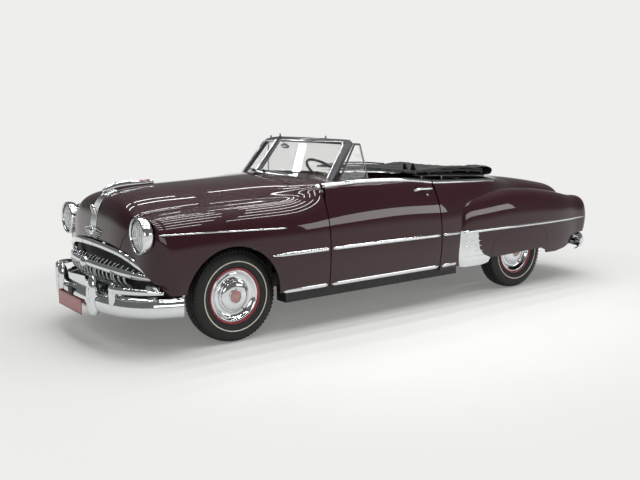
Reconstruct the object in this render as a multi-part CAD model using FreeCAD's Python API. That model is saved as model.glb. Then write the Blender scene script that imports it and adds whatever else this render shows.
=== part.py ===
# A two-door convertible of about 1950, with its cloth top folded down.
# X runs forward, Y to the car's left and Z up; the origin is on the ground at the middle of the car.
import FreeCAD, Part
import os
from math import pi, sin, cos, sqrt

V = FreeCAD.Vector

# Driving dimensions, in millimetres
WHEELBASE = 3048.0
FRONT_OVERHANG = 946.0
REAR_OVERHANG = 1150.0
SHOULDER_HEIGHT = 1000.0
FRONT_TRACK = 1473.0
REAR_TRACK = 1499.0
TYRE_R = 350.0
TYRE_WIDTH = 188.0
RIM_R = 197.0
HUB_BORE_R = 14.0
SKIRT_ROOM = 116.5

# Thicknesses, gaps and running fits
SKIN = 14.0
PANEL_GAP = 7.0
DOOR_GAP = 9.0
SEAT_GAP = 0.3
FIT = 0.05
PLATE = 8.0
GLASS = 6.0
OVERRUN = 60.0

HALF_WIDTH = REAR_TRACK / 2 + TYRE_WIDTH / 2 + SKIRT_ROOM
FRONT_AXLE_X = (REAR_OVERHANG + WHEELBASE - FRONT_OVERHANG) / 2
REAR_AXLE_X = FRONT_AXLE_X - WHEELBASE
WHEEL_INNER_Y = REAR_TRACK / 2 - TYRE_WIDTH / 2


def st(share):
    """X of a station, a share of the wheelbase ahead of the front axle."""
    return FRONT_AXLE_X + share * WHEELBASE


def wd(share):
    return share * HALF_WIDTH


def ht(share):
    return share * SHOULDER_HEIGHT


def at(shares):
    return V(st(shares[0]), wd(shares[1]), ht(shares[2]))


# Plain solids and outlines
def box(x0, x1, y0, y1, z0, z1):
    low = V(min(x0, x1), min(y0, y1), min(z0, z1))
    return Part.makeBox(abs(x1 - x0), abs(y1 - y0), abs(z1 - z0), low)


def rod(start, end, radius):
    return Part.makeCylinder(radius, (end - start).Length, start, end - start)


def tube(start, end, radius, bore):
    return rod(start, end, radius).cut(rod(start, end, bore))


def prism(points, sweep):
    wire = Part.makePolygon(points + [points[0]])
    return Part.Face(wire).extrude(sweep)


def side_prism(shares, y0, y1):
    """Outline in side view, as station and height shares, pushed across the car."""
    points = [V(st(sx), y0, ht(sz)) for sx, sz in shares]
    return prism(points, V(0, y1 - y0, 0))


def mirrored(shape):
    return shape.mirror(V(0, 0, 0), V(0, 1, 0))


def both(shape):
    return Part.makeCompound([shape, mirrored(shape)])


def joined(shapes):
    """One solid whose faces keep their borders, for swelling forms."""
    return shapes[0].multiFuse(shapes[1:])


def fused(shapes):
    """One solid with its flush faces made one."""
    return joined(shapes).removeSplitter()


def bar(start, end, width, depth, face):
    """Flat bar from start to end; its width lies across the run and the face direction."""
    run = end - start
    side = run.cross(face).normalize()
    deep = side.cross(run).normalize()
    corner = start - side * (width / 2) - deep * (depth / 2)
    points = [corner, corner + side * width, corner + side * width + deep * depth, corner + deep * depth]
    return prism(points, run)


def oval_section(centre, across, up, half_across, half_up):
    """Closed oval wire about a centre."""
    major = half_across >= half_up
    long_half = max(half_across, half_up)
    short_half = min(half_across, half_up)
    long_way = across if major else up
    normal = across.cross(up)
    ellipse = Part.Ellipse()
    ellipse.MajorRadius = long_half
    ellipse.MinorRadius = short_half
    ellipse.Center = V(0, 0, 0)
    edge = ellipse.toShape()
    turn = FreeCAD.Rotation(long_way, normal.cross(long_way), normal, "ZXY")
    edge.Placement = FreeCAD.Placement(centre, turn)
    return Part.Wire([edge])


def rib(points, half_heights, half_depths):
    """Rounded bar through points; half sizes are given at each point."""
    wires = []
    last = len(points) - 1
    for number, point in enumerate(points):
        ahead = points[min(number + 1, last)] - points[max(number - 1, 0)]
        across = V(-ahead.y, ahead.x, 0)
        across.normalize()
        up = V(ahead.x, ahead.y, ahead.z).cross(across)
        up.normalize()
        wires.append(oval_section(point, across, up, half_depths[number], half_heights[number]))
    return Part.makeLoft(wires, True, False)


# Skins that pass through a grid of points
def clamped_knots(count):
    """Knots and multiplicities of a clamped cubic spline with a number of poles."""
    spans = count - 3
    return [k / spans for k in range(spans + 1)], [4] + [1] * (spans - 1) + [4]


def surface_of(grid):
    """Smooth cubic skin drawn by a net of points."""
    row_knots, row_mults = clamped_knots(len(grid))
    column_knots, column_mults = clamped_knots(len(grid[0]))
    surface = Part.BSplineSurface()
    surface.buildFromPolesMultsKnots(grid, row_mults, column_mults, row_knots, column_knots, False, False, 3, 3)
    return surface.toShape()


def slab(outer, inner):
    """Solid between two grids of points with the same rows and columns."""
    faces = [surface_of(outer), surface_of(inner)]
    borders = []
    for pick in (lambda g: g[0], lambda g: g[-1], lambda g: [r[0] for r in g], lambda g: [r[-1] for r in g]):
        borders.append((pick(outer), pick(inner)))
    outer_edges = faces[0].Edges
    inner_edges = faces[1].Edges
    for out_points, in_points in borders:
        middle = out_points[len(out_points) // 2]
        out_edge = min(outer_edges, key=lambda e: e.distToShape(Part.Vertex(middle))[0])
        middle = in_points[len(in_points) // 2]
        in_edge = min(inner_edges, key=lambda e: e.distToShape(Part.Vertex(middle))[0])
        faces.append(Part.makeRuledSurface(out_edge, in_edge))
    shell = Part.makeShell([f for face in faces for f in face.Faces])
    shell.sewShape()
    if shell.ShapeType != "Shell":
        shell = shell.Shells[0]
    solid = Part.makeSolid(shell)
    if solid.Volume < 0:
        solid.reverse()
    return solid


def inset(grid, depth):
    """The grid moved inwards by a depth, square to its own surface."""
    rows = len(grid)
    columns = len(grid[0])
    moved = []
    for r in range(rows):
        line = []
        for c in range(columns):
            along = grid[min(r + 1, rows - 1)][c] - grid[max(r - 1, 0)][c]
            across = grid[r][min(c + 1, columns - 1)] - grid[r][max(c - 1, 0)]
            normal = across.cross(along)
            normal.normalize()
            line.append(grid[r][c] - normal * depth)
        moved.append(line)
    return moved


def blend(table, share, column):
    """Smooth value at a station, from a table of rows that runs front to rear."""
    last = len(table) - 1
    k = 0
    while k < last - 1 and share < table[k + 1][0]:
        k += 1
    x0 = table[k][0]
    x1 = table[k + 1][0]
    v0 = table[k][column]
    v1 = table[k + 1][column]
    slope = (v1 - v0) / (x1 - x0)
    before = slope
    after = slope
    if k > 0:
        before = (v1 - table[k - 1][column]) / (x1 - table[k - 1][0])
    if k < last - 1:
        after = (table[k + 2][column] - v0) / (table[k + 2][0] - x0)
    t = (share - x0) / (x1 - x0)
    span = x1 - x0
    h00 = (1 + 2 * t) * (1 - t) ** 2
    h10 = t * (1 - t) ** 2
    h01 = t * t * (3 - 2 * t)
    h11 = t * t * (t - 1)
    return h00 * v0 + h10 * span * before + h01 * v1 + h11 * span * after


def wrapped(start, end, turn_share, power):
    """Point on the rounded end of a rail, from its last station to the panel's edge."""
    angle = turn_share * pi / 2
    forward = sin(angle) ** power
    level = cos(angle) ** power
    return (start[0] + (end[0] - start[0]) * forward,
            end[1] + (start[1] - end[1]) * level,
            end[2] + (start[2] - end[2]) * level)


def rail_grid(rails, stations, nose_edge, nose_powers, tail_edge, tail_powers, wrap_shares):
    """Rows of points from the nose edge to the tail edge, one column for each rail."""
    rows = []
    first = stations[0]
    last = stations[-1]
    for turn in reversed(wrap_shares):
        row = []
        for rail, edge, power in zip(rails, nose_edge, nose_powers):
            start = (first, blend(rail, first, 1), blend(rail, first, 2))
            row.append(at(wrapped(start, edge, turn, power)))
        rows.append(row)
    for share in stations:
        rows.append([at((share, blend(rail, share, 1), blend(rail, share, 2))) for rail in rails])
    for turn in wrap_shares:
        row = []
        for rail, edge, power in zip(rails, tail_edge, tail_powers):
            start = (last, blend(rail, last, 1), blend(rail, last, 2))
            row.append(at(wrapped(start, edge, turn, power)))
        rows.append(row)
    return rows


def full_width(grid):
    """The left half's grid with its mirror image on the right."""
    return [[V(p.x, -p.y, p.z) for p in reversed(row[1:])] + row for row in grid]


# Main body: each rail lists station, half breadth and height shares, front to rear
BODY_RAIL_SHARES = (
    ((.15, 0, 1.155), (-.05, 0, 1.172), (-.26, 0, 1.185), (-.52, 0, 1.17), (-.90, 0, 1.08), (-1.05, 0, 1.05),
     (-1.17, 0, 1.005), (-1.27, 0, .955)),
    ((.15, .345, 1.125), (-.05, .355, 1.145), (-.26, .36, 1.175), (-.52, .36, 1.165), (-.90, .36, 1.075),
     (-1.05, .34, 1.045), (-1.17, .32, 1.0), (-1.27, .30, .95)),
    ((.15, .50, 1.07), (-.05, .51, 1.095), (-.26, .56, 1.16), (-.52, .58, 1.155), (-.90, .56, 1.07),
     (-1.05, .50, 1.03), (-1.17, .465, .985), (-1.27, .44, .935)),
    ((.15, .575, 1.015), (-.05, .59, 1.045), (-.16, .66, 1.075), (-.26, .845, 1.135), (-.40, .854, 1.142),
     (-.52, .856, 1.135), (-.60, .852, 1.11), (-.66, .845, 1.082), (-.90, .80, 1.06), (-1.05, .62, .99),
     (-1.17, .555, .955), (-1.27, .52, .905)),
    ((.15, .645, .987), (-.05, .66, 1.015), (-.16, .72, 1.03), (-.26, .872, 1.085), (-.52, .885, 1.075),
     (-.66, .878, 1.03), (-.90, .835, 1.0), (-1.05, .665, .93), (-1.17, .60, .91), (-1.27, .57, .865)),
    ((.15, .805, 1.003), (-.05, .815, 1.03), (-.16, .84, 1.025), (-.26, .90, 1.02), (-.52, .92, 1.0),
     (-.66, .915, .97), (-.90, .86, .93), (-1.05, .70, .87), (-1.17, .64, .85), (-1.27, .61, .81)),
    ((.15, .905, .925), (-.05, .925, .94), (-.26, .952, .91), (-.52, .966, .89), (-.66, .962, .86),
     (-.90, .88, .82), (-1.05, .73, .78), (-1.17, .67, .76), (-1.27, .64, .74)),
    ((.15, .955, .78), (-.05, .977, .78), (-.26, .989, .74), (-.52, .994, .70), (-.70, .985, .67),
     (-.90, .89, .66), (-1.05, .74, .65), (-1.17, .68, .65), (-1.27, .65, .64)),
    ((.15, .955, .56), (-.05, .972, .56), (-.26, .984, .53), (-.52, .989, .50), (-.70, .978, .49),
     (-.90, .885, .50), (-1.05, .73, .53), (-1.17, .67, .54), (-1.27, .645, .54)),
    ((.15, .93, .36), (-.05, .945, .345), (-.26, .952, .325), (-.52, .955, .315), (-.70, .945, .31),
     (-.90, .86, .36), (-1.05, .71, .42), (-1.17, .65, .44), (-1.27, .63, .45)),
)
BODY_STATION_SHARES = (.15, .08, 0, -.08, -.16, -.21, -.26, -.33, -.42, -.52, -.60, -.66, -.74, -.82, -.90,
                       -.98, -1.05, -1.12, -1.2, -1.27)
BODY_NOSE_SHARES = ((.249, 0, .775), (.247, .31, .765), (.243, .46, .745), (.236, .56, .715), (.229, .645, .675),
                    (.225, .755, .62), (.213, .835, .54), (.190, .885, .48), (.176, .915, .43), (.160, .935, .37))
BODY_NOSE_POWER_SHARES = (.70, .66, .60, .52, .45, .40, .45, .60, .70, .80)
BODY_TAIL_SHARES = ((-1.352, 0, .44), (-1.350, .28, .44), (-1.346, .42, .44), (-1.341, .50, .44),
                    (-1.336, .55, .44), (-1.330, .58, .45), (-1.322, .60, .46), (-1.314, .60, .46),
                    (-1.306, .60, .45), (-1.300, .60, .44))
BODY_TAIL_POWER_SHARES = (.55, .55, .55, .60, .60, .60, .65, .7, .7, .7)
WRAP_SHARES = (.3, .55, .78, 1)

# Panel seams of the main body, as shares
HOOD_REAR_SHARE = -.204
HOOD_SEAM_SHARES = ((.30, .63), (.15, .63), (0, .645), (-.10, .665), (-.204, .70))
HOOD_FRONT_SHARES = ((.66, 1.4), (.655, .96), (.60, .88), (.53, .82), (.48, .73), (.47, .60))
FENDER_SEAM_SHARES = ((-.204, .70), (-.25, .79))
DOOR_FRONT_SHARES = ((-.260, .30), (-.260, .98), (-.268, 1.06), (-.277, 1.30))
DOOR_REAR_SHARES = ((-.645, 1.30), (-.645, .62), (-.646, .45), (-.650, .30))
DOOR_BOTTOM = 338.0
DOOR_FLOOR_Y_SHARE = .845
DOOR_TOP_Y_SHARE = .79
DOOR_REAR_SLANT = 25.0
DOOR_LINING = 12.0
WINDOW_SLOT_INSET = 24.0
WINDOW_SLOT_WIDTH = 13.0
WINDOW_SLOT_END = 90.0
COCKPIT_HALF_SHARE = .787
COCKPIT_FRONT_SHARES = ((-.325, 0), (-.345, .787))
COCKPIT_REAR_SHARE = -.955
COCKPIT_CORNER_R = 190.0
SIDE_WALL_END_SHARE = -.835
DECKLID_HALF_SHARES = ((-1.035, .53), (-1.10, .55), (-1.22, .52), (-1.40, .46))
DECKLID_BOTTOM = 620.0

# Wheel openings
SKIRT_GAP = 0.3
FRONT_ARCH_R = 387.0
FRONT_ARCH_OFFSET = 55.0
FRONT_ARCH_Z = 352.0
FENDER_FRONT_LOW = 436.0
REAR_HOUSE_R = 415.0
REAR_HOUSE_ROOM = 45.5
REAR_HOUSE_INNER_Y = WHEEL_INNER_Y - REAR_HOUSE_ROOM
# Dash panel in side view
DASH_SHARES = ((-.340, .88), (-.352, .90), (-.347, 1.02), (-.340, 1.20), (-.300, 1.20), (-.300, 1.0),
               (-.325, .88))

# Steering wheel and column
STEERING_WHEEL_R = 205.0
STEERING_RIM_R = 11.0
STEERING_HUB_R = 28.0
STEERING_HUB_LENGTH = 50.0
COLUMN_R = 24.0
STEERING_CENTRE_SHARES = (-.385, .395, 1.165)
COLUMN_FOOT_SHARES = (-.2185, .395, .56)
STEERING_BOX_LENGTH = 120.0
STEERING_BOX_WIDTH = 75.0
STEERING_BOX_HEIGHT = 270.0
STEERING_BOX_AHEAD_SHARE = .7
STEERING_BOX_Z = 330.0
STEERING_SPOKE_DEGREES = (0, 180, 90)
SPOKE_R = 7.7

# Bumpers: bar line from the middle outwards, as shares
FRONT_BAR_SHARES = ((.300, 0), (.299, .22), (.293, .45), (.279, .63), (.252, .80), (.212, .91), (.155, .965))
REAR_BAR_SHARES = ((-1.371, 0), (-1.370, .22), (-1.364, .48), (-1.352, .70), (-1.330, .85), (-1.300, .94),
                   (-1.265, .965))
BAR_PROFILE_SHARES = ((0, -.30), (.03, -.12), (.18, .02), (.36, .09), (.5, .10), (.64, .09), (.82, .02),
                      (.97, -.12), (1, -.30))
FRONT_BAR_BOTTOM = 285.0
REAR_BAR_BOTTOM = 300.0
BAR_HEIGHT = 140.0
BAR_SHEET = 8.0
GUARD_Y = 340.0
GUARD_WIDTH = 104.0
GUARD_HEIGHT = 285.0
GUARD_DEPTH = 92.0
GUARD_DROP = 22.0
# Guard from foot to top: height, half width and half depth shares
GUARD_SHARES = ((0, .62, .50), (.06, .86, .80), (.25, 1.0, 1.0), (.55, .98, 1.0), (.80, .86, .86),
                (.94, .60, .58), (1, .34, .30))
OUTER_GUARD_SHARES = (.2885, .612, .352)
OUTER_GUARD_WIDTH = 58.0
OUTER_GUARD_HEIGHT = 178.0
OUTER_GUARD_DEPTH = 66.0
WING_SHARES = ((.283, .600, .482), (.275, .700, .484), (.256, .800, .483), (.229, .880, .477),
               (.197, .925, .466))
WING_HALF_HEIGHTS = (25.0, 25.0, 23.0, 19.0, 10.0)
WING_HALF_DEPTHS = (15.0, 15.0, 14.0, 11.0, 7.0)
BRACKET_WIDTH = 50.0

# Grille and lamps
TOP_BAR_SHARES = ((.258, 0, .748), (.256, .20, .743), (.250, .38, .729), (.241, .52, .705), (.228, .65, .655),
                  (.212, .76, .59), (.204, .81, .545))
MIDDLE_BAR_SHARES = ((.268, 0, .60), (.266, .20, .597), (.256, .42, .588), (.240, .60, .575), (.222, .74, .562),
                     (.196, .86, .55))
BAR_HALF_HEIGHTS = (19.0, 18.0, 18.0, 17.0, 16.0, 14.0, 9.0)
BAR_HALF_DEPTHS = (20.0, 20.0, 19.0, 18.0, 16.0, 13.0, 9.0)
TOOTH_COUNT = 9
TOOTH_WIDTH = 16.0
TOOTH_DEPTH = 14.0
TOOTH_PITCH = 120.0
LAMP_CENTRE_SHARES = (.2300, .766, .858)
LAMP_R = 122.0
LAMP_DEPTH = 190.0
LENS_R = LAMP_R - PLATE - SEAT_GAP
LENS_BULGE = 24.0
LAMP_TAPER_SHARE = .6
LAMP_BOWL_SHARE = .5
PARKING_LAMP_SHARES = (.213, .78, .475)
PARKING_LENGTH = 60.0
PARKING_WIDTH = 110.0
PARKING_HEIGHT = 60.0
PARKING_BRACKET_WIDTH = 36.0
PARKING_BRACKET_TOP = 556.0
TAIL_LAMP_SHARES = (.80, .62)
TAIL_LAMP_R = 34.0
ORNAMENT_SHARES = ((.216, 0, 1.118), (.19, 0, 1.143), (.14, 0, 1.160), (.08, 0, 1.166))
ORNAMENT_HALF_HEIGHTS = (14.0, 34.0, 32.0, 14.0)
ORNAMENT_HALF_WIDTHS = (8.0, 16.0, 14.0, 5.0)
RADIATOR_SHARES = ((.183, .31, .4903), (.183, .31, .86))
RADIATOR_DEPTH = 50.0

# Front suspension
KINGPIN_INSET = 81.5
UPRIGHT_HALF = 95.0
UPRIGHT_R = 30.0
ARM_R = 15.0
ARM_EYE_R = 24.0
ARM_SPREAD_SHARE = .75
ARM_ROOT_LEVEL_SHARE = .7
ARM_ROOT_DEPTH = 19.0
TOWER_DEPTH = 49.0
ARM_CLEARANCE = 24.0
BEAM_HALF_LENGTH = 70.0
BEAM_DEPTH = 125.0
TOWER_LOW = 250.0
TOWER_HIGH = 470.0
DRUM_STANDOFF = 42.0

# Engine bay and under the floor
ENGINE_LENGTH = 950.0
ENGINE_WIDTH = 420.0
ENGINE_HEIGHT = 480.0
ENGINE_REAR_SHARE = -.205
ENGINE_Z = 520.0
GEARBOX_LENGTH = 620.0
SHAFT_FRONT_Z = 340.0
EXHAUST_R = 24.0
MUFFLER_R = 80.0
MUFFLER_LENGTH = 560.0
EXHAUST_Y = -300.0
# Line of the pipe; a height share of zero stands for the run just under the frame's cross members
EXHAUST_PATH_SHARES = ((-.10, .56), (-.10, 0), (-.91, 0), (-.96, .46), (-1.04, .46), (-1.09, .30),
                       (-1.345, .30))
MUFFLER_SHARE = -.43
TANK_LENGTH = 420.0
TANK_WIDTH = 760.0
TANK_HEIGHT = 190.0
TANK_FRONT_SHARE = -1.137

# Seats: front edge station, cushion length, heights and breadths
FRONT_SEAT_SHARE = -.435
FRONT_SEAT_LENGTH = 520.0
REAR_SEAT_SHARE = -.690
REAR_SEAT_LENGTH = 440.0
CUSHION_HEIGHT = 170.0
FRONT_CUSHION_Z = 440.0
SEAT_SIDE_ROOM = 65.52
SEAT_HALF_WIDTH = wd(COCKPIT_HALF_SHARE) - SEAT_SIDE_ROOM
REAR_SEAT_SIDE_ROOM = 20.0
REAR_SEAT_HALF_WIDTH = REAR_HOUSE_INNER_Y - REAR_SEAT_SIDE_ROOM
TRUNK_SIDE_ROOM = 35.0
TRUNK_HALF = REAR_HOUSE_INNER_Y - TRUNK_SIDE_ROOM
BACK_THICKNESS = 170.0
BACK_TOP_SHARE = .6
BACK_ROUND = 31.5
RISER_SETBACK = 48.0
RISER_REAR_REACH = 90.0
RISER_WIDTH = 16.0
RISER_Y_SHARE = .8
FRONT_BACK_TOP = 1010.0
REAR_BACK_TOP = 1000.0
BACK_LEAN = 110.0

# Folded top: middle line of the stack in side view, with its half heights and half breadth shares
STACK_SHARES = ((-.600, 1.160, .018, .72), (-.66, 1.175, .048, .77), (-.74, 1.178, .063, .785),
                (-.84, 1.160, .064, .77), (-.92, 1.135, .055, .72), (-.95, 1.110, .030, .64))
IRON_Y_SHARE = .66
IRON_R = 9.0
IRON_PIVOT_R = 18.0
IRON_DROP = 77.0

# Firewall and the posts that carry the doors
FIREWALL_SHARE = -.232
FIREWALL_OUTLINE_SHARES = ((0, .385), (.815, .385), (.815, .335), (.90, .335), (.93, .55), (.935, .84),
                           (.84, 1.02), (.76, 1.075), (.5, 1.14), (.2, 1.172), (0, 1.18))
HINGE_POST_SHARES = ((.825, .3305), (.92, .3305), (.93, .85), (.84, 1.01), (.80, 1.05), (.80, .60))

# Rear fender: stations with crown height, bottom height and outer half breadth shares
REAR_FENDER_SHARES = ((-.82, .935, .305, .998), (-.90, .957, .30, 1.002), (-1.0, .96, .30, 1.003),
                      (-1.10, .93, .30, .999), (-1.20, .88, .31, .975), (-1.27, .83, .36, .93))
REAR_FENDER_STATION_SHARES = (-.82, -.87, -.93, -1.0, -1.06, -1.12, -1.17, -1.22, -1.27)
FENDER_SECTION_SHARES = ((0, .90), (.30, .985), (.60, 1.0), (.82, .93), (.94, .80), (1.0, .58), (1.0, .36),
                         (.985, .15), (.93, 0))
REAR_FENDER_INNER_SHARE = .62
FENDER_FRONT_SHARES = ((-.80, .62, .80), (-.775, .74, .84), (-.755, .84, .84), (-.735, .895, .80),
                       (-.722, .925, .70), (-.720, .94, .58), (-.720, .94, .46), (-.722, .93, .36), (-.73, .91, .31))
FENDER_TAIL_SHARES = ((-1.315, .62, .74), (-1.330, .69, .74), (-1.340, .74, .72), (-1.342, .78, .68),
                      (-1.342, .81, .63), (-1.340, .82, .57), (-1.335, .82, .52), (-1.325, .82, .47),
                      (-1.310, .81, .43))
FENDER_FRONT_POWER_SHARES = (.6, .6, .6, .6, .6, .6, .6, .6, .6)
FENDER_TAIL_POWER_SHARES = (.6, .6, .6, .6, .6, .6, .6, .6, .6)
FENDER_EDGE_SHARES = ((-1.06, .20), (-1.06, .365), (-1.075, .37), (-1.085, .345), (-1.10, .315), (-1.15, .31),
                      (-1.20, .33), (-1.235, .37), (-1.255, .456), (-1.38, .456), (-1.38, .20))
SKIRT_TOP_SHARES = ((-.845, .34), (-.850, .44), (-.860, .50), (-.885, .55), (-.930, .58), (-1.0, .592),
                    (-1.06, .58), (-1.088, .535), (-1.098, .46), (-1.098, .34))
SKIRT_BOTTOM_SHARES = ((-.70, .20), (-.70, .362), (-.90, .358), (-1.0, .368), (-1.075, .372), (-1.10, .34),
                       (-1.12, .20))
STONE_GUARD_SHARES = ((-.70, .63), (-.787, .632), (-.788, .55), (-.794, .46), (-.812, .40), (-.842, .36),
                      (-.835, .32), (-.81, .305), (-.76, .295), (-.73, .30), (-.70, .33))
STONE_GUARD_STANDOFF = 1.0
STONE_GUARD_THICKNESS = 5.0

# Glass corners of the windshield, as shares
GLASS_BASE_MIDDLE_SHARES = (-.233, 0, 1.190)
GLASS_BASE_CORNER_SHARES = (-.312, .729, 1.105)
GLASS_TOP_MIDDLE_SHARES = (-.312, 0, 1.468)
GLASS_TOP_CORNER_SHARES = (.672, 1.436)
PILLAR_FOOT_SHARE = .04
VENT_SHARES = ((-.330, .803, 1.110), (-.427, .803, 1.110), (-.417, .738, 1.425), (-.3955, .738, 1.430))
HEADER_WIDTH = 34.0
PILLAR_WIDTH = 52.0
FRAME_DEPTH = 30.0
DIVIDER_WIDTH = 24.0
BASE_WIDTH = 26.0

# Frame and running gear
RAIL_WIDTH = 70.0
RAIL_DEPTH = 110.0
RAIL_SHARES = ((.235, .36, .45), (.16, .36, .45), (.06, .36, .45), (-.07, .36, .45), (-.22, .47, .315),
               (-.70, .56, .315), (-.80, .54, .36), (-.90, .52, .53), (-1.06, .52, .56), (-1.18, .52, .50),
               (-1.31, .52, .46))
CROSS_MEMBER_SHARES = ((.175, .45, 80), (-.40, .281, 38), (-.66, .281, 38), (-1.12, .53, 80), (-1.29, .46, 80))
CROSS_MEMBER_LENGTH = 90.0
ENGINE_MOUNT_SHARE = .045
ENGINE_MOUNT_LENGTH = 70.0
ENGINE_MOUNT_DEPTH = 40.0
ENGINE_MOUNT_REACH = 60.0
TOW_HOLE_R = 6.5
TOW_HOLE_APART_X = 50.0
TOW_HOLE_APART_Y = 300.0
HANGER_WIDTH = 60.0
HANGER_DEPTH = 90.0
KINGPIN_Y = FRONT_TRACK / 2 - KINGPIN_INSET
KINGPIN_R = 13.0
STEER_ARM_LENGTH = 150.0
STEER_ARM_INNER = 16.0
STEER_ARM_OUTER = 8.0
STEER_ARM_DROP = 70.0
STEER_ARM_THICKNESS = 25.0
DRUM_R = 145.0
SPINDLE_R = HUB_BORE_R - FIT
SPINDLE_ROOT_SHARE = .8
AXLE_TUBE_R = 38.0
DIFFERENTIAL_R = 135.0
SHAFT_R = 35.0
SPRING_WIDTH = 55.0
SPRING_HALF_LENGTH = 640.0
SPRING_THICKNESS = 38.0
SPRING_ROOM = 55.5
SPRING_Y = WHEEL_INNER_Y - SPRING_ROOM
SPRING_RISE = 110.0
SPRING_EYE_Z = TYRE_R - AXLE_TUBE_R - SPRING_THICKNESS - SEAT_GAP + SPRING_RISE

# Seats and cabin
FLOOR_Z = 372.0
REAR_PAN_Z = 492.0
SILL_SHARES = (-.128, -.718)
SILL_LOW = 255.0
SILL_OUTER_SHARE = .932
SILL_STEP_SHARE = .813
TRUNK_FLOOR_Z = 620.0
TRUNK_END_SHARE = -1.31
TUNNEL_HALF_WIDTH = 150.0
TUNNEL_HEIGHT = 60.0
CUSHION_ROUND = 45.0

# Wheels: sections as shares of the radius and of the half width
WHEEL_WIDTH = 150.0
SPINDLE_END_SHARE = .46
TYRE_SECTION_SHARES = ((0, -.58), (.10, -.64), (.25, -.86), (.5, -1.0), (.84, -.90), (.96, -.62), (1, 0),
                       (.96, .62), (.84, .90), (.5, 1.0), (.25, .86), (.10, .64), (0, .58))
WHEEL_HUB_SHARES = (-.30, .98)
WHEEL_SECTION_SHARES = ((.42, -.30), (.42, .18), (.70, .05), (.86, .20), (.88, -.75), (1, -.75), (1, .80),
                        (1.07, .88), (1.07, .95), (.90, .84), (.86, .50), (.70, .42), (.62, .52), (.50, .80),
                        (.25, .95))

# Reaches of the cutting spaces, past the car on every side
THICK_FIRST_ROW = len(WRAP_SHARES)
WALL_SHARE = .70
FAR_AHEAD = st(.40)
FAR_BEHIND = st(-1.5)
SIDE_Y = HALF_WIDTH + 2 * OVERRUN
TOP_Z = ht(1.6)
ARCH_INNER_SHARE = .5
LOW_FRONT_SHARE = .12
OPENING_LOW_SHARE = .7


def body_grid():
    return rail_grid(BODY_RAIL_SHARES, BODY_STATION_SHARES, BODY_NOSE_SHARES, BODY_NOSE_POWER_SHARES,
                     BODY_TAIL_SHARES, BODY_TAIL_POWER_SHARES, WRAP_SHARES)


def rear_fender_grid():
    """The bulging rear fender: one section shape, fitted between crown, bottom and outer side."""
    rails = []
    for across, upward in FENDER_SECTION_SHARES:
        rail = []
        for share, crown, bottom, outer in REAR_FENDER_SHARES:
            breadth = REAR_FENDER_INNER_SHARE + (outer - REAR_FENDER_INNER_SHARE) * across
            rail.append((share, breadth, bottom + (crown - bottom) * upward))
        rails.append(rail)
    return rail_grid(rails, REAR_FENDER_STATION_SHARES, FENDER_FRONT_SHARES, FENDER_FRONT_POWER_SHARES,
                     FENDER_TAIL_SHARES, FENDER_TAIL_POWER_SHARES, WRAP_SHARES)


def drawn_in(grid, share):
    """The grid drawn in towards the floor's middle line, for thick walls."""
    base = ht(BODY_RAIL_SHARES[-1][0][2])
    return [[V(p.x, p.y * share, base + (p.z - base) * share) for p in row] for row in grid]


left_grid = body_grid()
whole_grid = full_width(left_grid)
skin = slab(whole_grid, inset(whole_grid, SKIN))
thick_grid = whole_grid[THICK_FIRST_ROW:THICK_FIRST_ROW + len(BODY_STATION_SHARES)]
thick = slab(thick_grid, drawn_in(thick_grid, WALL_SHARE))
fender_grid = rear_fender_grid()
fender_shell = slab(fender_grid, inset(fender_grid, SKIN))


def hood_zone(extra):
    """Space of the hood: inside its seams in plan and, at the nose, in front view."""
    left = [V(st(sx), wd(sy) + extra, 0) for sx, sy in HOOD_SEAM_SHARES]
    left[-1] = V(left[-1].x - extra, left[-1].y, 0)
    right = [V(p.x, -p.y, 0) for p in reversed(left)]
    body = prism(left + right, V(0, 0, TOP_Z))
    front = [V(FAR_BEHIND, wd(sy) + extra, ht(sz)) for sy, sz in HOOD_FRONT_SHARES]
    front_right = [V(p.x, -p.y, p.z) for p in reversed(front)]
    return body.common(prism(front + front_right, V(FAR_AHEAD - FAR_BEHIND, 0, 0)))


def cowl_zone(extra):
    """Space of the cowl top, from the hood's rear edge to the cabin opening."""
    start = st(HOOD_REAR_SHARE) - PANEL_GAP + extra
    left = [V(start, 0, 0)]
    left += [V(min(st(sx), start), wd(sy) + extra, 0) for sx, sy in FENDER_SEAM_SHARES]
    left += [V(st(DOOR_FRONT_SHARES[0][0]), wd(COCKPIT_HALF_SHARE) + extra, 0)]
    left += [V(st(COCKPIT_FRONT_SHARES[1][0]), wd(COCKPIT_HALF_SHARE) + extra, 0)]
    left += [V(st(COCKPIT_FRONT_SHARES[0][0]), 0, 0)]
    half = prism(left, V(0, 0, TOP_Z))
    return half.fuse(mirrored(half))


def inner_wall_zone(x0, x1, extra):
    """Space outboard of the doors' inner face."""
    low = V(x0, wd(DOOR_FLOOR_Y_SHARE) + extra, 0)
    high = V(x0, wd(DOOR_TOP_Y_SHARE) + extra, ht(BODY_RAIL_SHARES[3][4][2]))
    slope = (high.y - low.y) / high.z
    points = [V(x0, low.y, 0), V(x0, low.y + slope * TOP_Z, TOP_Z), V(x0, SIDE_Y, TOP_Z), V(x0, SIDE_Y, 0)]
    return prism(points, V(x1 - x0, 0, 0))


def door_outline(extra):
    """Door edges in side view, pushed across; extra moves every edge outwards."""
    front = [V(st(sx) + extra, 0, ht(sz)) for sx, sz in DOOR_FRONT_SHARES]
    rear = [V(st(sx) - extra, 0, ht(sz)) for sx, sz in DOOR_REAR_SHARES]
    front[0].z = DOOR_BOTTOM - extra
    rear[-1].z = DOOR_BOTTOM - extra
    return prism(front + rear, V(0, SIDE_Y, 0))


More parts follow.
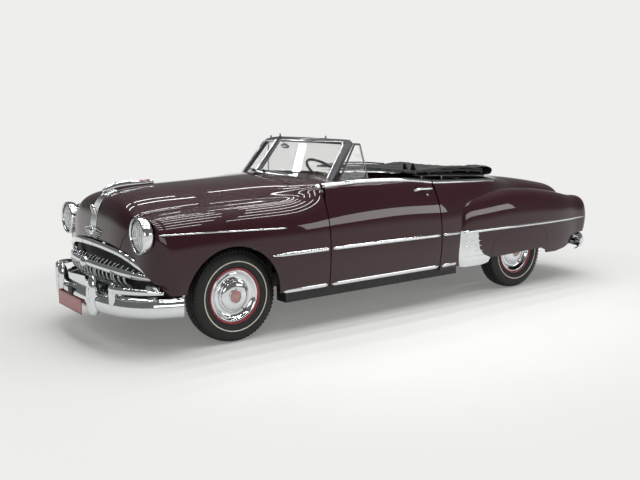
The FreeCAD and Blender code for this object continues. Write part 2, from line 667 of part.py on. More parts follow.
def rear_slant(extra):
    """Wedge that bevels the door's rear end, nearest the cabin."""
    rear_x = st(DOOR_REAR_SHARES[0][0]) - extra
    inner_y = wd(COCKPIT_HALF_SHARE) - OVERRUN
    outer_y = HALF_WIDTH
    slope = DOOR_REAR_SLANT / (outer_y - wd(COCKPIT_HALF_SHARE))
    points = [V(FAR_BEHIND, inner_y, 0), V(rear_x + slope * (outer_y - inner_y), inner_y, 0),
              V(rear_x, outer_y, 0), V(rear_x, SIDE_Y, 0), V(FAR_BEHIND, SIDE_Y, 0)]
    return prism(points, V(0, 0, TOP_Z))


def make_hood():
    return skin.common(hood_zone(0))


def make_front_fender():
    zone = side_prism(((.40, 0), (.40, 1.5)) + tuple(reversed(DOOR_FRONT_SHARES)), 0, SIDE_Y)
    shape = skin.common(zone)
    front_x = st(DOOR_FRONT_SHARES[0][0]) + DOOR_GAP
    shape = shape.cut(box(front_x, FAR_BEHIND, 0, SIDE_Y, 0, TOP_Z))
    shape = shape.cut(hood_zone(PANEL_GAP)).cut(cowl_zone(SEAT_GAP))
    arch = rod(V(FRONT_AXLE_X + FRONT_ARCH_OFFSET, wd(ARCH_INNER_SHARE), FRONT_ARCH_Z),
               V(FRONT_AXLE_X + FRONT_ARCH_OFFSET, SIDE_Y, FRONT_ARCH_Z), FRONT_ARCH_R)
    low_front = box(st(LOW_FRONT_SHARE), FAR_AHEAD, 0, SIDE_Y, 0, FENDER_FRONT_LOW)
    shape = shape.cut(arch).cut(low_front).cut(lamp_plug(at(LAMP_CENTRE_SHARES), LAMP_R, LAMP_DEPTH))
    return largest(shape.cut(make_grille()))


def largest(shape):
    return max(shape.Solids, key=lambda solid: solid.Volume)


def make_cowl():
    top = largest(skin.common(cowl_zone(0)))
    wall = firewall()
    post = hinge_post()
    centre, axis = steering_axis()
    hole = rod(at(COLUMN_FOOT_SHARES), centre, COLUMN_R + SEAT_GAP)
    return fused([top, wall, post, mirrored(post)]).cut(hole)


def firewall():
    x = st(FIREWALL_SHARE)
    points = [V(x, wd(sy), ht(sz)) for sy, sz in FIREWALL_OUTLINE_SHARES]
    points += [V(p.x, -p.y, p.z) for p in reversed(points)]
    return prism(points, V(-PLATE, 0, 0))


def hinge_post():
    x = st(FIREWALL_SHARE) - PLATE
    points = [V(x, wd(sy), ht(sz)) for sy, sz in HINGE_POST_SHARES]
    return prism(points, V(st(DOOR_FRONT_SHARES[0][0]) + DOOR_GAP - x, 0, 0))


def make_door():
    """Outer skin and lining round a hollow, with the slot that the side window drops into."""
    shape = thick.common(door_outline(0))
    shape = shape.common(inner_wall_zone(FAR_AHEAD, FAR_BEHIND, 0))
    shape = largest(shape.cut(rear_slant(0)))
    hollow = slab(inset(thick_grid, SKIN), drawn_in(thick_grid, WALL_SHARE)).common(door_outline(-SKIN))
    hollow = hollow.common(inner_wall_zone(FAR_AHEAD, FAR_BEHIND, DOOR_LINING)).cut(rear_slant(SKIN))
    hollow = largest(hollow)
    room = hollow.BoundBox
    front = st(DOOR_FRONT_SHARES[0][0]) - WINDOW_SLOT_END
    rear = st(DOOR_REAR_SHARES[0][0]) + WINDOW_SLOT_END
    slot = inner_wall_zone(front, rear, WINDOW_SLOT_INSET)
    slot = slot.cut(inner_wall_zone(front, rear, WINDOW_SLOT_INSET + WINDOW_SLOT_WIDTH))
    slot = slot.common(box(front, rear, 0, SIDE_Y, room.Center.z, TOP_Z))
    return largest(shape.cut(hollow).cut(slot))


def make_rear_body():
    start = st(DOOR_REAR_SHARES[0][0]) - DOOR_GAP
    shape = skin.common(box(start, FAR_BEHIND, -SIDE_Y, SIDE_Y, 0, TOP_Z))
    opening = cockpit_opening()
    shape = shape.cut(opening).cut(decklid_zone(PANEL_GAP))
    wheel_y = REAR_HOUSE_INNER_Y
    house = rod(V(REAR_AXLE_X, wheel_y, TYRE_R), V(REAR_AXLE_X, SIDE_Y, TYRE_R), REAR_HOUSE_R)
    shape = shape.cut(house).cut(mirrored(house))
    wall_end = st(SIDE_WALL_END_SHARE)
    wall = thick.common(box(start, wall_end, 0, SIDE_Y, DOOR_BOTTOM - PLATE + SEAT_GAP, TOP_Z))
    pillar = wall.common(inner_wall_zone(FAR_AHEAD, FAR_BEHIND, 0))
    pillar = largest(pillar.common(rear_slant(DOOR_GAP)))
    return fused([largest(shape), pillar, mirrored(pillar)])


def cockpit_opening():
    rear = st(COCKPIT_REAR_SHARE)
    half = wd(COCKPIT_HALF_SHARE)
    hole = box(rear, st(COCKPIT_FRONT_SHARES[0][0]) + OVERRUN, -half, half, ht(OPENING_LOW_SHARE), TOP_Z)
    corners = [e for e in hole.Edges if abs(e.CenterOfMass.x - rear) < OVERRUN and abs(e.tangentAt(0).z) > .9]
    return hole.makeFillet(COCKPIT_CORNER_R, corners)


def decklid_zone(extra):
    left = [V(st(sx), wd(sy) + extra, 0) for sx, sy in DECKLID_HALF_SHARES]
    left[0].x += extra
    right = [V(p.x, -p.y, 0) for p in reversed(left)]
    zone = prism(left + right, V(0, 0, TOP_Z))
    return zone.cut(box(FAR_BEHIND, FAR_AHEAD, -SIDE_Y, SIDE_Y, 0, DECKLID_BOTTOM - extra))


def make_rear_fender():
    shape = largest(fender_shell.cut(skin))
    shape = shape.cut(side_prism(FENDER_EDGE_SHARES, 0, SIDE_Y))
    shape = shape.cut(skirt_zone(SKIRT_GAP)).cut(side_prism(SKIRT_BOTTOM_SHARES, 0, SIDE_Y))
    return largest(shape)


def skirt_zone(extra):
    middle = st(SKIRT_TOP_SHARES[5][0])
    points = []
    for sx, sz in SKIRT_TOP_SHARES:
        x = st(sx)
        grow = extra if x > middle else -extra
        points.append(V(x + grow, WHEEL_INNER_Y, ht(sz) + extra))
    points[0].z = 0
    points[-1].z = 0
    return prism(points, V(0, SIDE_Y, 0))


def make_skirt():
    shape = fender_shell.common(skirt_zone(0))
    shape = shape.cut(side_prism(SKIRT_BOTTOM_SHARES, 0, SIDE_Y))
    return largest(shape)


def make_stone_guard():
    outer = inset(fender_grid, -(STONE_GUARD_STANDOFF + STONE_GUARD_THICKNESS))
    inner = inset(fender_grid, -STONE_GUARD_STANDOFF)
    sheet = slab(outer, inner)
    zone = side_prism(STONE_GUARD_SHARES, 0, SIDE_Y)
    return largest(sheet.common(zone).cut(skin).cut(thick))


def make_decklid():
    return largest(skin.common(decklid_zone(0)))


def windshield_corners():
    base_middle = at(GLASS_BASE_MIDDLE_SHARES)
    base_corner = at(GLASS_BASE_CORNER_SHARES)
    top_middle = at(GLASS_TOP_MIDDLE_SHARES)
    normal = (base_corner - base_middle).cross(top_middle - base_middle).normalize()
    top_y = wd(GLASS_TOP_CORNER_SHARES[0])
    top_z = ht(GLASS_TOP_CORNER_SHARES[1])
    across = normal.y * top_y + normal.z * (top_z - base_middle.z)
    top_corner = V(base_middle.x - across / normal.x, top_y, top_z)
    if normal.x < 0:
        normal = normal * -1
    return base_middle, base_corner, top_corner, top_middle, normal


def make_windshield_frame():
    base_middle, base_corner, top_corner, top_middle, normal = windshield_corners()
    base = bar(base_middle, base_corner, BASE_WIDTH, FRAME_DEPTH, normal)
    header = bar(top_middle, top_corner, HEADER_WIDTH, FRAME_DEPTH, normal)
    foot = base_corner - (top_corner - base_corner) * PILLAR_FOOT_SHARE
    pillar = bar(foot, top_corner, PILLAR_WIDTH, FRAME_DEPTH, normal)
    cap = Part.makeSphere(HEADER_WIDTH / 2, top_corner)
    side = fused([base, header, pillar, cap])
    divider = bar(base_middle, top_middle, DIVIDER_WIDTH, FRAME_DEPTH, V(1, 0, 1))
    return largest(fused([side, mirrored(side), divider]).cut(thick))


def make_windshield_glass(frame):
    base_middle, base_corner, top_corner, top_middle, normal = windshield_corners()
    pane = prism([base_middle, base_corner, top_corner, top_middle], normal * GLASS)
    pane.translate(normal * (-GLASS / 2))
    pane = largest(pane.cut(frame).cut(thick))
    return both(pane)


def make_tyre(centre):
    """Hollow tyre: a round carcass section turned about the hub line."""
    points = [V(0, across * TYRE_WIDTH / 2, RIM_R + upward * (TYRE_R - RIM_R))
              for upward, across in TYRE_SECTION_SHARES]
    curve = Part.BSplineCurve()
    curve.interpolate(points)
    back = Part.makeLine(points[-1], points[0])
    face = Part.Face(Part.Wire([curve.toShape(), back]))
    tyre = face.revolve(V(0, 0, 0), V(0, 1, 0), 360)
    tyre.translate(centre)
    return tyre


def make_wheel(centre, side):
    """Pressed wheel with its dished disc and domed hubcap, one turned profile."""
    half = WHEEL_WIDTH / 2 * side
    rim = RIM_R - SEAT_GAP
    inner, outer = WHEEL_HUB_SHARES
    points = [V(0, inner * half, HUB_BORE_R)]
    points += [V(0, across * half, upward * rim) for upward, across in WHEEL_SECTION_SHARES]
    points += [V(0, outer * half, HUB_BORE_R)]
    wheel = Part.Face(Part.makePolygon(points + [points[0]])).revolve(V(0, 0, 0), V(0, 1, 0), 360)
    wheel.translate(centre)
    return wheel


def make_knuckle(side):
    """Upright on the kingpin line with its backing plate, spindle and steering arm."""
    hub = V(FRONT_AXLE_X, FRONT_TRACK / 2 * side, TYRE_R)
    pin = V(FRONT_AXLE_X, KINGPIN_Y * side, TYRE_R)
    out = V(0, side, 0)
    upright = tube(pin - V(0, 0, UPRIGHT_HALF), pin + V(0, 0, UPRIGHT_HALF), UPRIGHT_R, KINGPIN_R)
    plate = rod(pin + out * DRUM_STANDOFF, pin + out * (DRUM_STANDOFF + PLATE), DRUM_R)
    root = pin + out * UPRIGHT_R * SPINDLE_ROOT_SHARE
    spindle = rod(root, hub + out * WHEEL_WIDTH * SPINDLE_END_SHARE, SPINDLE_R)
    arm_low = pin.z - STEER_ARM_DROP
    arm = box(pin.x, pin.x - STEER_ARM_LENGTH, pin.y - side * STEER_ARM_INNER, pin.y + side * STEER_ARM_OUTER,
              arm_low, arm_low + STEER_ARM_THICKNESS)
    bore = rod(pin - V(0, 0, UPRIGHT_HALF + OVERRUN), pin + V(0, 0, UPRIGHT_HALF + OVERRUN), KINGPIN_R)
    return fused([upright, plate, spindle, arm]).cut(bore)


def make_front_suspension():
    """Cross member, kingpins and a pair of arms on each side."""
    top = ht(RAIL_SHARES[2][2]) - RAIL_DEPTH / 2 - SEAT_GAP
    tower_y = wd(RAIL_SHARES[0][1]) + RAIL_WIDTH / 2 + SEAT_GAP
    root_y = tower_y + ARM_ROOT_DEPTH
    beam = box(FRONT_AXLE_X - BEAM_HALF_LENGTH, FRONT_AXLE_X + BEAM_HALF_LENGTH, -root_y, root_y,
               top - BEAM_DEPTH, top)
    shapes = [beam]
    for side in (1, -1):
        hub = V(FRONT_AXLE_X, KINGPIN_Y * side, TYRE_R)
        reach_up = UPRIGHT_HALF + ARM_CLEARANCE
        for level in (reach_up, -reach_up):
            eye = hub + V(0, 0, level)
            for reach in (BEAM_HALF_LENGTH, -BEAM_HALF_LENGTH):
                root = V(FRONT_AXLE_X + reach * ARM_SPREAD_SHARE, root_y * side,
                         TYRE_R + level * ARM_ROOT_LEVEL_SHARE)
                shapes.append(rod(root, eye, ARM_R))
            shapes.append(rod(eye - V(0, 0, ARM_R), eye + V(0, 0, ARM_R), ARM_EYE_R))
        shapes.append(rod(hub - V(0, 0, reach_up), hub + V(0, 0, reach_up), KINGPIN_R - FIT))
        shapes.append(box(FRONT_AXLE_X - BEAM_HALF_LENGTH, FRONT_AXLE_X + BEAM_HALF_LENGTH, tower_y * side,
                          (tower_y + TOWER_DEPTH) * side, TOWER_LOW, TOWER_HIGH))
    return fused(shapes)


def make_chassis_frame():
    upper = [V(st(sx), 0, ht(sz) + RAIL_DEPTH / 2) for sx, sy, sz in RAIL_SHARES]
    lower = [V(st(sx), 0, ht(sz) - RAIL_DEPTH / 2) for sx, sy, sz in reversed(RAIL_SHARES)]
    outer = [V(st(sx), wd(sy) + RAIL_WIDTH / 2, 0) for sx, sy, sz in RAIL_SHARES]
    inner = [V(st(sx), wd(sy) - RAIL_WIDTH / 2, 0) for sx, sy, sz in reversed(RAIL_SHARES)]
    rail = prism(upper + lower, V(0, SIDE_Y, 0)).common(prism(outer + inner, V(0, 0, TOP_Z)))
    shapes = [rail, mirrored(rail)]
    for sx, sz, depth in CROSS_MEMBER_SHARES:
        x = st(sx)
        reach = wd(rail_value(sx, 1))
        z = ht(sz)
        shapes.append(box(x - CROSS_MEMBER_LENGTH / 2, x + CROSS_MEMBER_LENGTH / 2, -reach, reach,
                          z - depth / 2, z + depth / 2))
    for reach in (SPRING_HALF_LENGTH, -SPRING_HALF_LENGTH):
        x = REAR_AXLE_X + reach
        share = (x - FRONT_AXLE_X) / WHEELBASE
        y = wd(rail_value(share, 1))
        z = min(ht(rail_value(share, 2)), SPRING_EYE_Z + HANGER_DEPTH / 2)
        hanger = box(x - HANGER_WIDTH / 2, x + HANGER_WIDTH / 2, y, SPRING_Y - SPRING_WIDTH / 2 - SEAT_GAP,
                     z - HANGER_DEPTH / 2, z + HANGER_DEPTH / 2)
        shapes += [hanger, mirrored(hanger)]
    mount_x = st(ENGINE_MOUNT_SHARE)
    mount_top = ENGINE_Z - SEAT_GAP
    mount = box(mount_x, mount_x + ENGINE_MOUNT_LENGTH, ENGINE_WIDTH / 2 - ENGINE_MOUNT_REACH,
                wd(rail_value(ENGINE_MOUNT_SHARE, 1)), mount_top - ENGINE_MOUNT_DEPTH, mount_top)
    frame = fused(shapes + [mount, mirrored(mount)])
    rear_member_x = st(CROSS_MEMBER_SHARES[-1][0])
    for across in (1, -1):
        for along in (1, -1):
            foot = V(rear_member_x + along * TOW_HOLE_APART_X / 2, across * TOW_HOLE_APART_Y / 2, 0)
            frame = frame.cut(rod(foot, foot + V(0, 0, TOP_Z), TOW_HOLE_R))
    return frame


def rail_value(share, column):
    for ahead, behind in zip(RAIL_SHARES, RAIL_SHARES[1:]):
        if behind[0] <= share <= ahead[0]:
            part = (ahead[0] - share) / (ahead[0] - behind[0])
            return ahead[column] + (behind[column] - ahead[column]) * part
    return RAIL_SHARES[-1][column]


def bumper_bar(line_shares, bottom, outwards):
    """Pressed bar that follows its line round the car, with a rounded face in section."""
    half = [V(st(sx), wd(sy), 0) for sx, sy in line_shares]
    line = [V(p.x, -p.y, 0) for p in reversed(half[1:])] + half
    outer = []
    for number, point in enumerate(line):
        ahead = line[min(number + 1, len(line) - 1)] - line[max(number - 1, 0)]
        out = V(ahead.y, -ahead.x, 0)
        out.normalize()
        out = out * outwards
        outer.append([V(point.x, point.y, bottom + up * BAR_HEIGHT) + out * (depth * BAR_HEIGHT)
                      for up, depth in BAR_PROFILE_SHARES])
    sheet = slab(outer, inset(outer, BAR_SHEET * outwards))
    return sheet


def bumper_guard(face, width, height, depth, outwards):
    """Upright guard of oval sections with a rounded top; face is its front at the foot."""
    wires = []
    for up, across, deep in GUARD_SHARES:
        centre = face + V(-outwards * depth / 2, 0, up * height)
        wires.append(oval_section(centre, V(0, 1, 0), V(1, 0, 0), across * width / 2, deep * depth / 2))
    return Part.makeLoft(wires, True, False)


def make_bumper(line_shares, bottom, outwards, rail_end):
    bar_sheet = bumper_bar(line_shares, bottom, outwards)
    face_x = FRONT_AXLE_X + FRONT_OVERHANG if outwards > 0 else REAR_AXLE_X - REAR_OVERHANG
    iron = bumper_bracket(line_shares, bottom, outwards, rail_end)
    foot = V(face_x, GUARD_Y, bottom - GUARD_DROP)
    guard = bumper_guard(foot, GUARD_WIDTH, GUARD_HEIGHT, GUARD_DEPTH, outwards)
    return [bar_sheet, iron, mirrored(iron), guard, mirrored(guard)]


def make_front_wing():
    """Bar above the end of the front bumper, carried by the outer guard."""
    wing = rib([at(p) for p in WING_SHARES], WING_HALF_HEIGHTS, WING_HALF_DEPTHS)
    guard = bumper_guard(at(OUTER_GUARD_SHARES), OUTER_GUARD_WIDTH, OUTER_GUARD_HEIGHT, OUTER_GUARD_DEPTH, 1)
    return joined([wing, guard])


def bumper_bracket(line_shares, bottom, outwards, rail_end):
    """Iron from the frame rail's end to the back of the bar."""
    x = st(line_shares[1][0]) - outwards * BAR_SHEET / 2
    end = st(rail_end[0]) + outwards * SEAT_GAP
    y = wd(rail_end[1])
    z = bottom + BAR_HEIGHT / 2
    low = min(z, ht(rail_end[2])) - BRACKET_WIDTH / 2
    high = max(z, ht(rail_end[2])) + BRACKET_WIDTH / 2
    return box(x, end, y - PLATE, y + PLATE, low, high)


def make_grille():
    """Arched upper bar and crossing middle bar, with short upright teeth behind them."""
    shapes = []
    for line in (TOP_BAR_SHARES, MIDDLE_BAR_SHARES):
        half = [at(p) for p in line]
        points = [V(p.x, -p.y, p.z) for p in reversed(half[1:])] + half
        heights = list(BAR_HALF_HEIGHTS[:len(half)])
        depths = list(BAR_HALF_DEPTHS[:len(half)])
        shapes.append(rib(points, list(reversed(heights[1:])) + heights, list(reversed(depths[1:])) + depths))
    for number in range(-TOOTH_COUNT // 2 + 1, TOOTH_COUNT // 2 + 1):
        y = number * TOOTH_PITCH
        upper = line_point(TOP_BAR_SHARES, abs(y))
        lower = line_point(MIDDLE_BAR_SHARES, abs(y))
        upper.y = y
        lower.y = y
        shapes.append(bar(lower, upper, TOOTH_WIDTH, TOOTH_DEPTH, V(1, 0, 0)))
    bracket = parking_bracket()
    return fused(shapes + [bracket, mirrored(bracket)])


def parking_bracket():
    """Hook from the middle bar down behind the parking lamp."""
    lamp = at(PARKING_LAMP_SHARES)
    back = lamp.x - PARKING_LENGTH - SEAT_GAP
    low_y = lamp.y - PARKING_BRACKET_WIDTH / 2
    high_y = lamp.y + PARKING_BRACKET_WIDTH / 2
    shelf_z = PARKING_BRACKET_TOP - PLATE
    plate = box(back, back - PLATE, low_y, high_y, lamp.z - PARKING_HEIGHT / 2, PARKING_BRACKET_TOP)
    shelf_end = line_point(MIDDLE_BAR_SHARES, lamp.y).x
    shelf = box(back - PLATE, shelf_end, low_y, high_y, shelf_z, PARKING_BRACKET_TOP)
    return fused([plate, shelf])


def line_point(line, y):
    """Point of a half line at a distance from the car's middle plane."""
    points = [at(p) for p in line]
    for a, b in zip(points, points[1:]):
        if a.y <= y <= b.y:
            return a + (b - a) * ((y - a.y) / (b.y - a.y))
    return points[-1]


def make_radiator():
    low, high = [at(p) for p in RADIATOR_SHARES]
    return box(low.x, low.x - RADIATOR_DEPTH, -low.y, low.y, low.z, high.z)


def lamp_plug(centre, radius, depth):
    """The space that a lamp bowl fills."""
    points = [V(0, 0, 0), V(0, radius, 0), V(-PLATE, radius + PLATE, 0), V(-2 * PLATE, radius, 0),
              V(-depth, radius * LAMP_TAPER_SHARE, 0), V(-depth - PLATE, 0, 0)]
    plug = Part.Face(Part.makePolygon(points + [points[0]])).revolve(V(0, 0, 0), V(1, 0, 0), 360)
    plug.translate(centre)
    return plug


def lamp_bowl(centre, radius, depth, rim):
    """Lamp shell: open bowl with a rolled rim, its axis along X."""
    points = [V(0, radius - PLATE, 0), V(0, radius, 0), V(-rim, radius + PLATE, 0), V(-2 * rim, radius, 0),
              V(-depth, radius * LAMP_TAPER_SHARE, 0), V(-depth - PLATE, 0, 0), V(-depth, 0, 0),
              V(-depth + PLATE, radius * LAMP_BOWL_SHARE, 0),
              V(-2 * rim, radius - PLATE, 0)]
    bowl = Part.Face(Part.makePolygon(points + [points[0]])).revolve(V(0, 0, 0), V(1, 0, 0), 360)
    bowl.translate(centre)
    return bowl


def lens_dome(centre, radius, bulge, thickness):
    """Domed glass disc, its axis along X."""
    ball = (radius * radius + bulge * bulge) / (2 * bulge)
    dome = Part.makeSphere(ball, centre - V(ball - bulge, 0, 0))
    return dome.common(rod(centre - V(thickness, 0, 0), centre + V(radius, 0, 0), radius))


def rounded_box(x0, x1, y0, y1, z0, z1, radius):
    block = box(x0, x1, y0, y1, z0, z1)
    return block.makeFillet(radius, block.Edges)


def make_cushion(front, length, half_width, low):
    return rounded_box(front, front - length, -half_width, half_width, low, low + CUSHION_HEIGHT, CUSHION_ROUND)


def make_seat_back(front, half_width, low, top):
    """Backrest leaning rearwards: a rounded slab sheared by its lean."""
    top_front = front - BACK_LEAN
    points = [V(front, -half_width, low), V(top_front, -half_width, top),
              V(top_front - BACK_THICKNESS * BACK_TOP_SHARE, -half_width, top),
              V(front - BACK_THICKNESS, -half_width, low)]
    back = prism(points, V(0, 2 * half_width, 0))
    return back.makeFillet(BACK_ROUND, back.Edges)


def make_steering_box():
    foot = at(COLUMN_FOOT_SHARES)
    ahead = STEERING_BOX_LENGTH * STEERING_BOX_AHEAD_SHARE
    y = wd(rail_value(COLUMN_FOOT_SHARES[0] + ahead / WHEELBASE, 1)) - RAIL_WIDTH / 2 - PLATE / 2
    return box(foot.x + ahead - STEERING_BOX_LENGTH, foot.x + ahead, y - STEERING_BOX_WIDTH, y, STEERING_BOX_Z,
               STEERING_BOX_Z + STEERING_BOX_HEIGHT)


def make_floor():
    """Floor sheets, tunnel, rear seat pan, trunk floor and sills."""
    front = st(FIREWALL_SHARE) - PLATE - SEAT_GAP
    heel = st(REAR_SEAT_SHARE) + PLATE
    half = wd(SILL_STEP_SHARE)
    pan_end = st(REAR_SEAT_SHARE) - REAR_SEAT_LENGTH - SEAT_GAP * 2
    narrow = REAR_SEAT_HALF_WIDTH
    tunnel_top = FLOOR_Z + TUNNEL_HEIGHT
    shapes = [box(front, heel - PLATE, -half, half, FLOOR_Z, FLOOR_Z + PLATE),
              box(front, heel, -TUNNEL_HALF_WIDTH, TUNNEL_HALF_WIDTH, FLOOR_Z, tunnel_top),
              box(heel, heel - PLATE, -narrow, narrow, FLOOR_Z, REAR_PAN_Z),
              box(heel, pan_end - PLATE, -narrow, narrow, REAR_PAN_Z, REAR_PAN_Z + PLATE),
              box(pan_end, pan_end - PLATE, -narrow, narrow, REAR_PAN_Z, TRUNK_FLOOR_Z),
              box(pan_end, st(TRUNK_END_SHARE), -TRUNK_HALF, TRUNK_HALF, TRUNK_FLOOR_Z, TRUNK_FLOOR_Z + PLATE)]
    seat_x = st(FRONT_SEAT_SHARE)
    riser_y = SEAT_HALF_WIDTH * RISER_Y_SHARE
    riser = box(seat_x - RISER_SETBACK, seat_x - FRONT_SEAT_LENGTH - RISER_REAR_REACH, riser_y - RISER_WIDTH,
                riser_y, FLOOR_Z, FRONT_CUSHION_Z - SEAT_GAP)
    shapes += [riser, mirrored(riser)]
    hollow = box(front, heel - PLATE, -TUNNEL_HALF_WIDTH + PLATE, TUNNEL_HALF_WIDTH - PLATE,
                 FLOOR_Z - PLATE, tunnel_top - PLATE)
    floor = fused(shapes).cut(hollow)
    sill_top = DOOR_BOTTOM - PLATE
    points = [V(st(SILL_SHARES[0]), y, z) for y, z in (
        (half - PLATE * 2, SILL_LOW), (wd(SILL_OUTER_SHARE), SILL_LOW), (wd(SILL_OUTER_SHARE), sill_top),
        (half, sill_top), (half, FLOOR_Z + PLATE), (half - PLATE * 2, FLOOR_Z + PLATE))]
    sill = prism(points, V(st(SILL_SHARES[1]) - st(SILL_SHARES[0]), 0, 0))
    return fused([floor, sill, mirrored(sill)])


def make_engine():
    rear = st(ENGINE_REAR_SHARE)
    half = ENGINE_WIDTH / 2
    return box(rear, rear + ENGINE_LENGTH, -half, half, ENGINE_Z, ENGINE_Z + ENGINE_HEIGHT)


def make_rear_axle():
    left = V(REAR_AXLE_X, REAR_TRACK / 2 - KINGPIN_INSET + DRUM_STANDOFF, TYRE_R)
    casing = rod(V(left.x, -left.y, left.z), left, AXLE_TUBE_R)
    middle = Part.makeSphere(DIFFERENTIAL_R, V(REAR_AXLE_X, 0, TYRE_R))
    half_shaft = V(REAR_AXLE_X, REAR_TRACK / 2 + WHEEL_WIDTH * SPINDLE_END_SHARE, TYRE_R)
    stub = rod(V(half_shaft.x, -half_shaft.y, half_shaft.z), half_shaft, SPINDLE_R)
    front = V(st(ENGINE_REAR_SHARE) - GEARBOX_LENGTH, 0, SHAFT_FRONT_Z)
    shaft = rod(front, V(REAR_AXLE_X, 0, TYRE_R), SHAFT_R)
    plates = [rod(left, left - V(0, PLATE, 0), DRUM_R)]
    plates.append(mirrored(plates[0]))
    return fused([casing, middle, stub, shaft] + plates)


def make_leaf_spring():
    """Bowed spring pack under the axle."""
    path = [V(REAR_AXLE_X - SPRING_HALF_LENGTH, SPRING_Y, SPRING_EYE_Z),
            V(REAR_AXLE_X, SPRING_Y, SPRING_EYE_Z - SPRING_RISE),
            V(REAR_AXLE_X + SPRING_HALF_LENGTH, SPRING_Y, SPRING_EYE_Z)]
    arc = Part.Arc(*path)
    upper = Part.Arc(*[p + V(0, 0, SPRING_THICKNESS) for p in path])
    ends = [Part.makeLine(path[0], path[0] + V(0, 0, SPRING_THICKNESS)),
            Part.makeLine(path[2], path[2] + V(0, 0, SPRING_THICKNESS))]
    face = Part.Face(Part.Wire(Part.__sortEdges__([arc.toShape(), upper.toShape()] + ends)))
    pack = face.extrude(V(0, SPRING_WIDTH, 0))
    pack.translate(V(0, -SPRING_WIDTH / 2, 0))
    return pack


def make_exhaust():
    member_z, member_depth = CROSS_MEMBER_SHARES[1][1:]
    low_run = ht(member_z) - member_depth / 2 - SEAT_GAP - EXHAUST_R
    points = [V(st(sx), EXHAUST_Y, ht(sz) or low_run) for sx, sz in EXHAUST_PATH_SHARES]
    flange = V(points[0].x, -ENGINE_WIDTH / 2 - SEAT_GAP, points[0].z)
    points = [flange] + points
    shapes = [rod(a, b, EXHAUST_R) for a, b in zip(points, points[1:])]
    shapes += [Part.makeSphere(EXHAUST_R, p) for p in points[1:-1]]
    muffler = V(st(MUFFLER_SHARE), EXHAUST_Y, low_run)
    shapes.append(rod(muffler, muffler - V(MUFFLER_LENGTH, 0, 0), MUFFLER_R))
    return fused(shapes)


def make_tank():
    front = st(TANK_FRONT_SHARE)
    top = TRUNK_FLOOR_Z - SEAT_GAP
    return rounded_box(front - TANK_LENGTH, front, -TANK_WIDTH / 2, TANK_WIDTH / 2, top - TANK_HEIGHT, top,
                       CUSHION_ROUND)


def make_dashboard():
    """Dash panel under the windshield with its rolled top edge."""
    half = wd(COCKPIT_HALF_SHARE) - PLATE * 2
    points = [V(st(sx), -half, ht(sz)) for sx, sz in DASH_SHARES]
    panel = prism(points, V(0, 2 * half, 0))
    centre, axis = steering_axis()
    hole = rod(at(COLUMN_FOOT_SHARES), centre, COLUMN_R + SEAT_GAP)
    return largest(panel.cut(skin).cut(hole))


def steering_axis():
    centre = at(STEERING_CENTRE_SHARES)
    foot = at(COLUMN_FOOT_SHARES)
    return centre, (centre - foot).normalize()


def make_steering_wheel():
    """Rim, three spokes and a hub turned about the column."""
    centre, axis = steering_axis()
    rim = Part.makeTorus(STEERING_WHEEL_R, STEERING_RIM_R, centre, axis)
    hub = rod(centre - axis * STEERING_HUB_LENGTH, centre + axis * STEERING_RIM_R, STEERING_HUB_R)
    flat = V(0, 1, 0)
    shapes = [rim, hub]
    for turn in STEERING_SPOKE_DEGREES:
        spoke = rod(centre, centre + flat * STEERING_WHEEL_R, SPOKE_R)
        spoke.rotate(centre, axis, turn)
        shapes.append(spoke)
    return fused(shapes)


def make_column():
    centre, axis = steering_axis()
    top = centre - axis * (STEERING_HUB_LENGTH + SEAT_GAP)
    foot = at(COLUMN_FOOT_SHARES)
    return fused([rod(foot, top, COLUMN_R), make_steering_box()])


def bundle_section(centre, half_breadth, radius):
    """Long closed outline across the car with half-round ends."""
    reach = half_breadth - radius
    up = V(0, 0, radius)
    left = centre + V(0, reach, 0)
    right = centre - V(0, reach, 0)
    left_end = Part.Arc(left + up, left + V(0, radius, 0), left - up).toShape()
    right_end = Part.Arc(right - up, right - V(0, radius, 0), right + up).toShape()
    upper, lower = Part.makeLine(right + up, left + up), Part.makeLine(left - up, right - up)
    return Part.Wire([upper, left_end, lower, right_end])


def make_folded_top():
    sections = [bundle_section(V(st(sx), 0, ht(sz)), wd(breadth), ht(half))
                for sx, sz, half, breadth in STACK_SHARES]
    return Part.makeLoft(sections, True, False)


def make_irons(stack, body):
    """Folded side irons under the cloth, with their pivots on the cabin's side walls."""
    points = [V(st(sx), wd(IRON_Y_SHARE), ht(sz - half) - IRON_R)
              for sx, sz, half, breadth in STACK_SHARES[1:5]]
    shapes = [rod(a, b, IRON_R) for a, b in zip(points, points[1:])]
    for point in points[:2]:
        low = point - V(0, 0, IRON_DROP)
        shapes.append(rod(low, point, IRON_R))
        outer = V(low.x, wd(DOOR_TOP_Y_SHARE) + IRON_R * 2, low.z)
        shapes.append(rod(low - V(0, IRON_R, 0), outer, IRON_PIVOT_R))
    irons = fused(shapes)
    return largest(irons.cut(stack).cut(body))


def make_ornament():
    """Clear fin over a low bright base on the hood's middle line."""
    points = [at(p) for p in ORNAMENT_SHARES]
    bed = slab(inset(whole_grid, -SEAT_GAP), inset(whole_grid, OVERRUN))
    return largest(rib(points, ORNAMENT_HALF_HEIGHTS, ORNAMENT_HALF_WIDTHS).cut(bed))


def make_tail_lamp():
    """Half-round lens seated on the rearmost end of the fender."""
    tail = min(st(sx) for sx, sy, sz in FENDER_TAIL_SHARES)
    centre = V(tail - SEAT_GAP, wd(TAIL_LAMP_SHARES[0]), ht(TAIL_LAMP_SHARES[1]))
    space = box(centre.x, FAR_BEHIND, 0, SIDE_Y, 0, TOP_Z)
    return Part.makeSphere(TAIL_LAMP_R, centre).common(space)


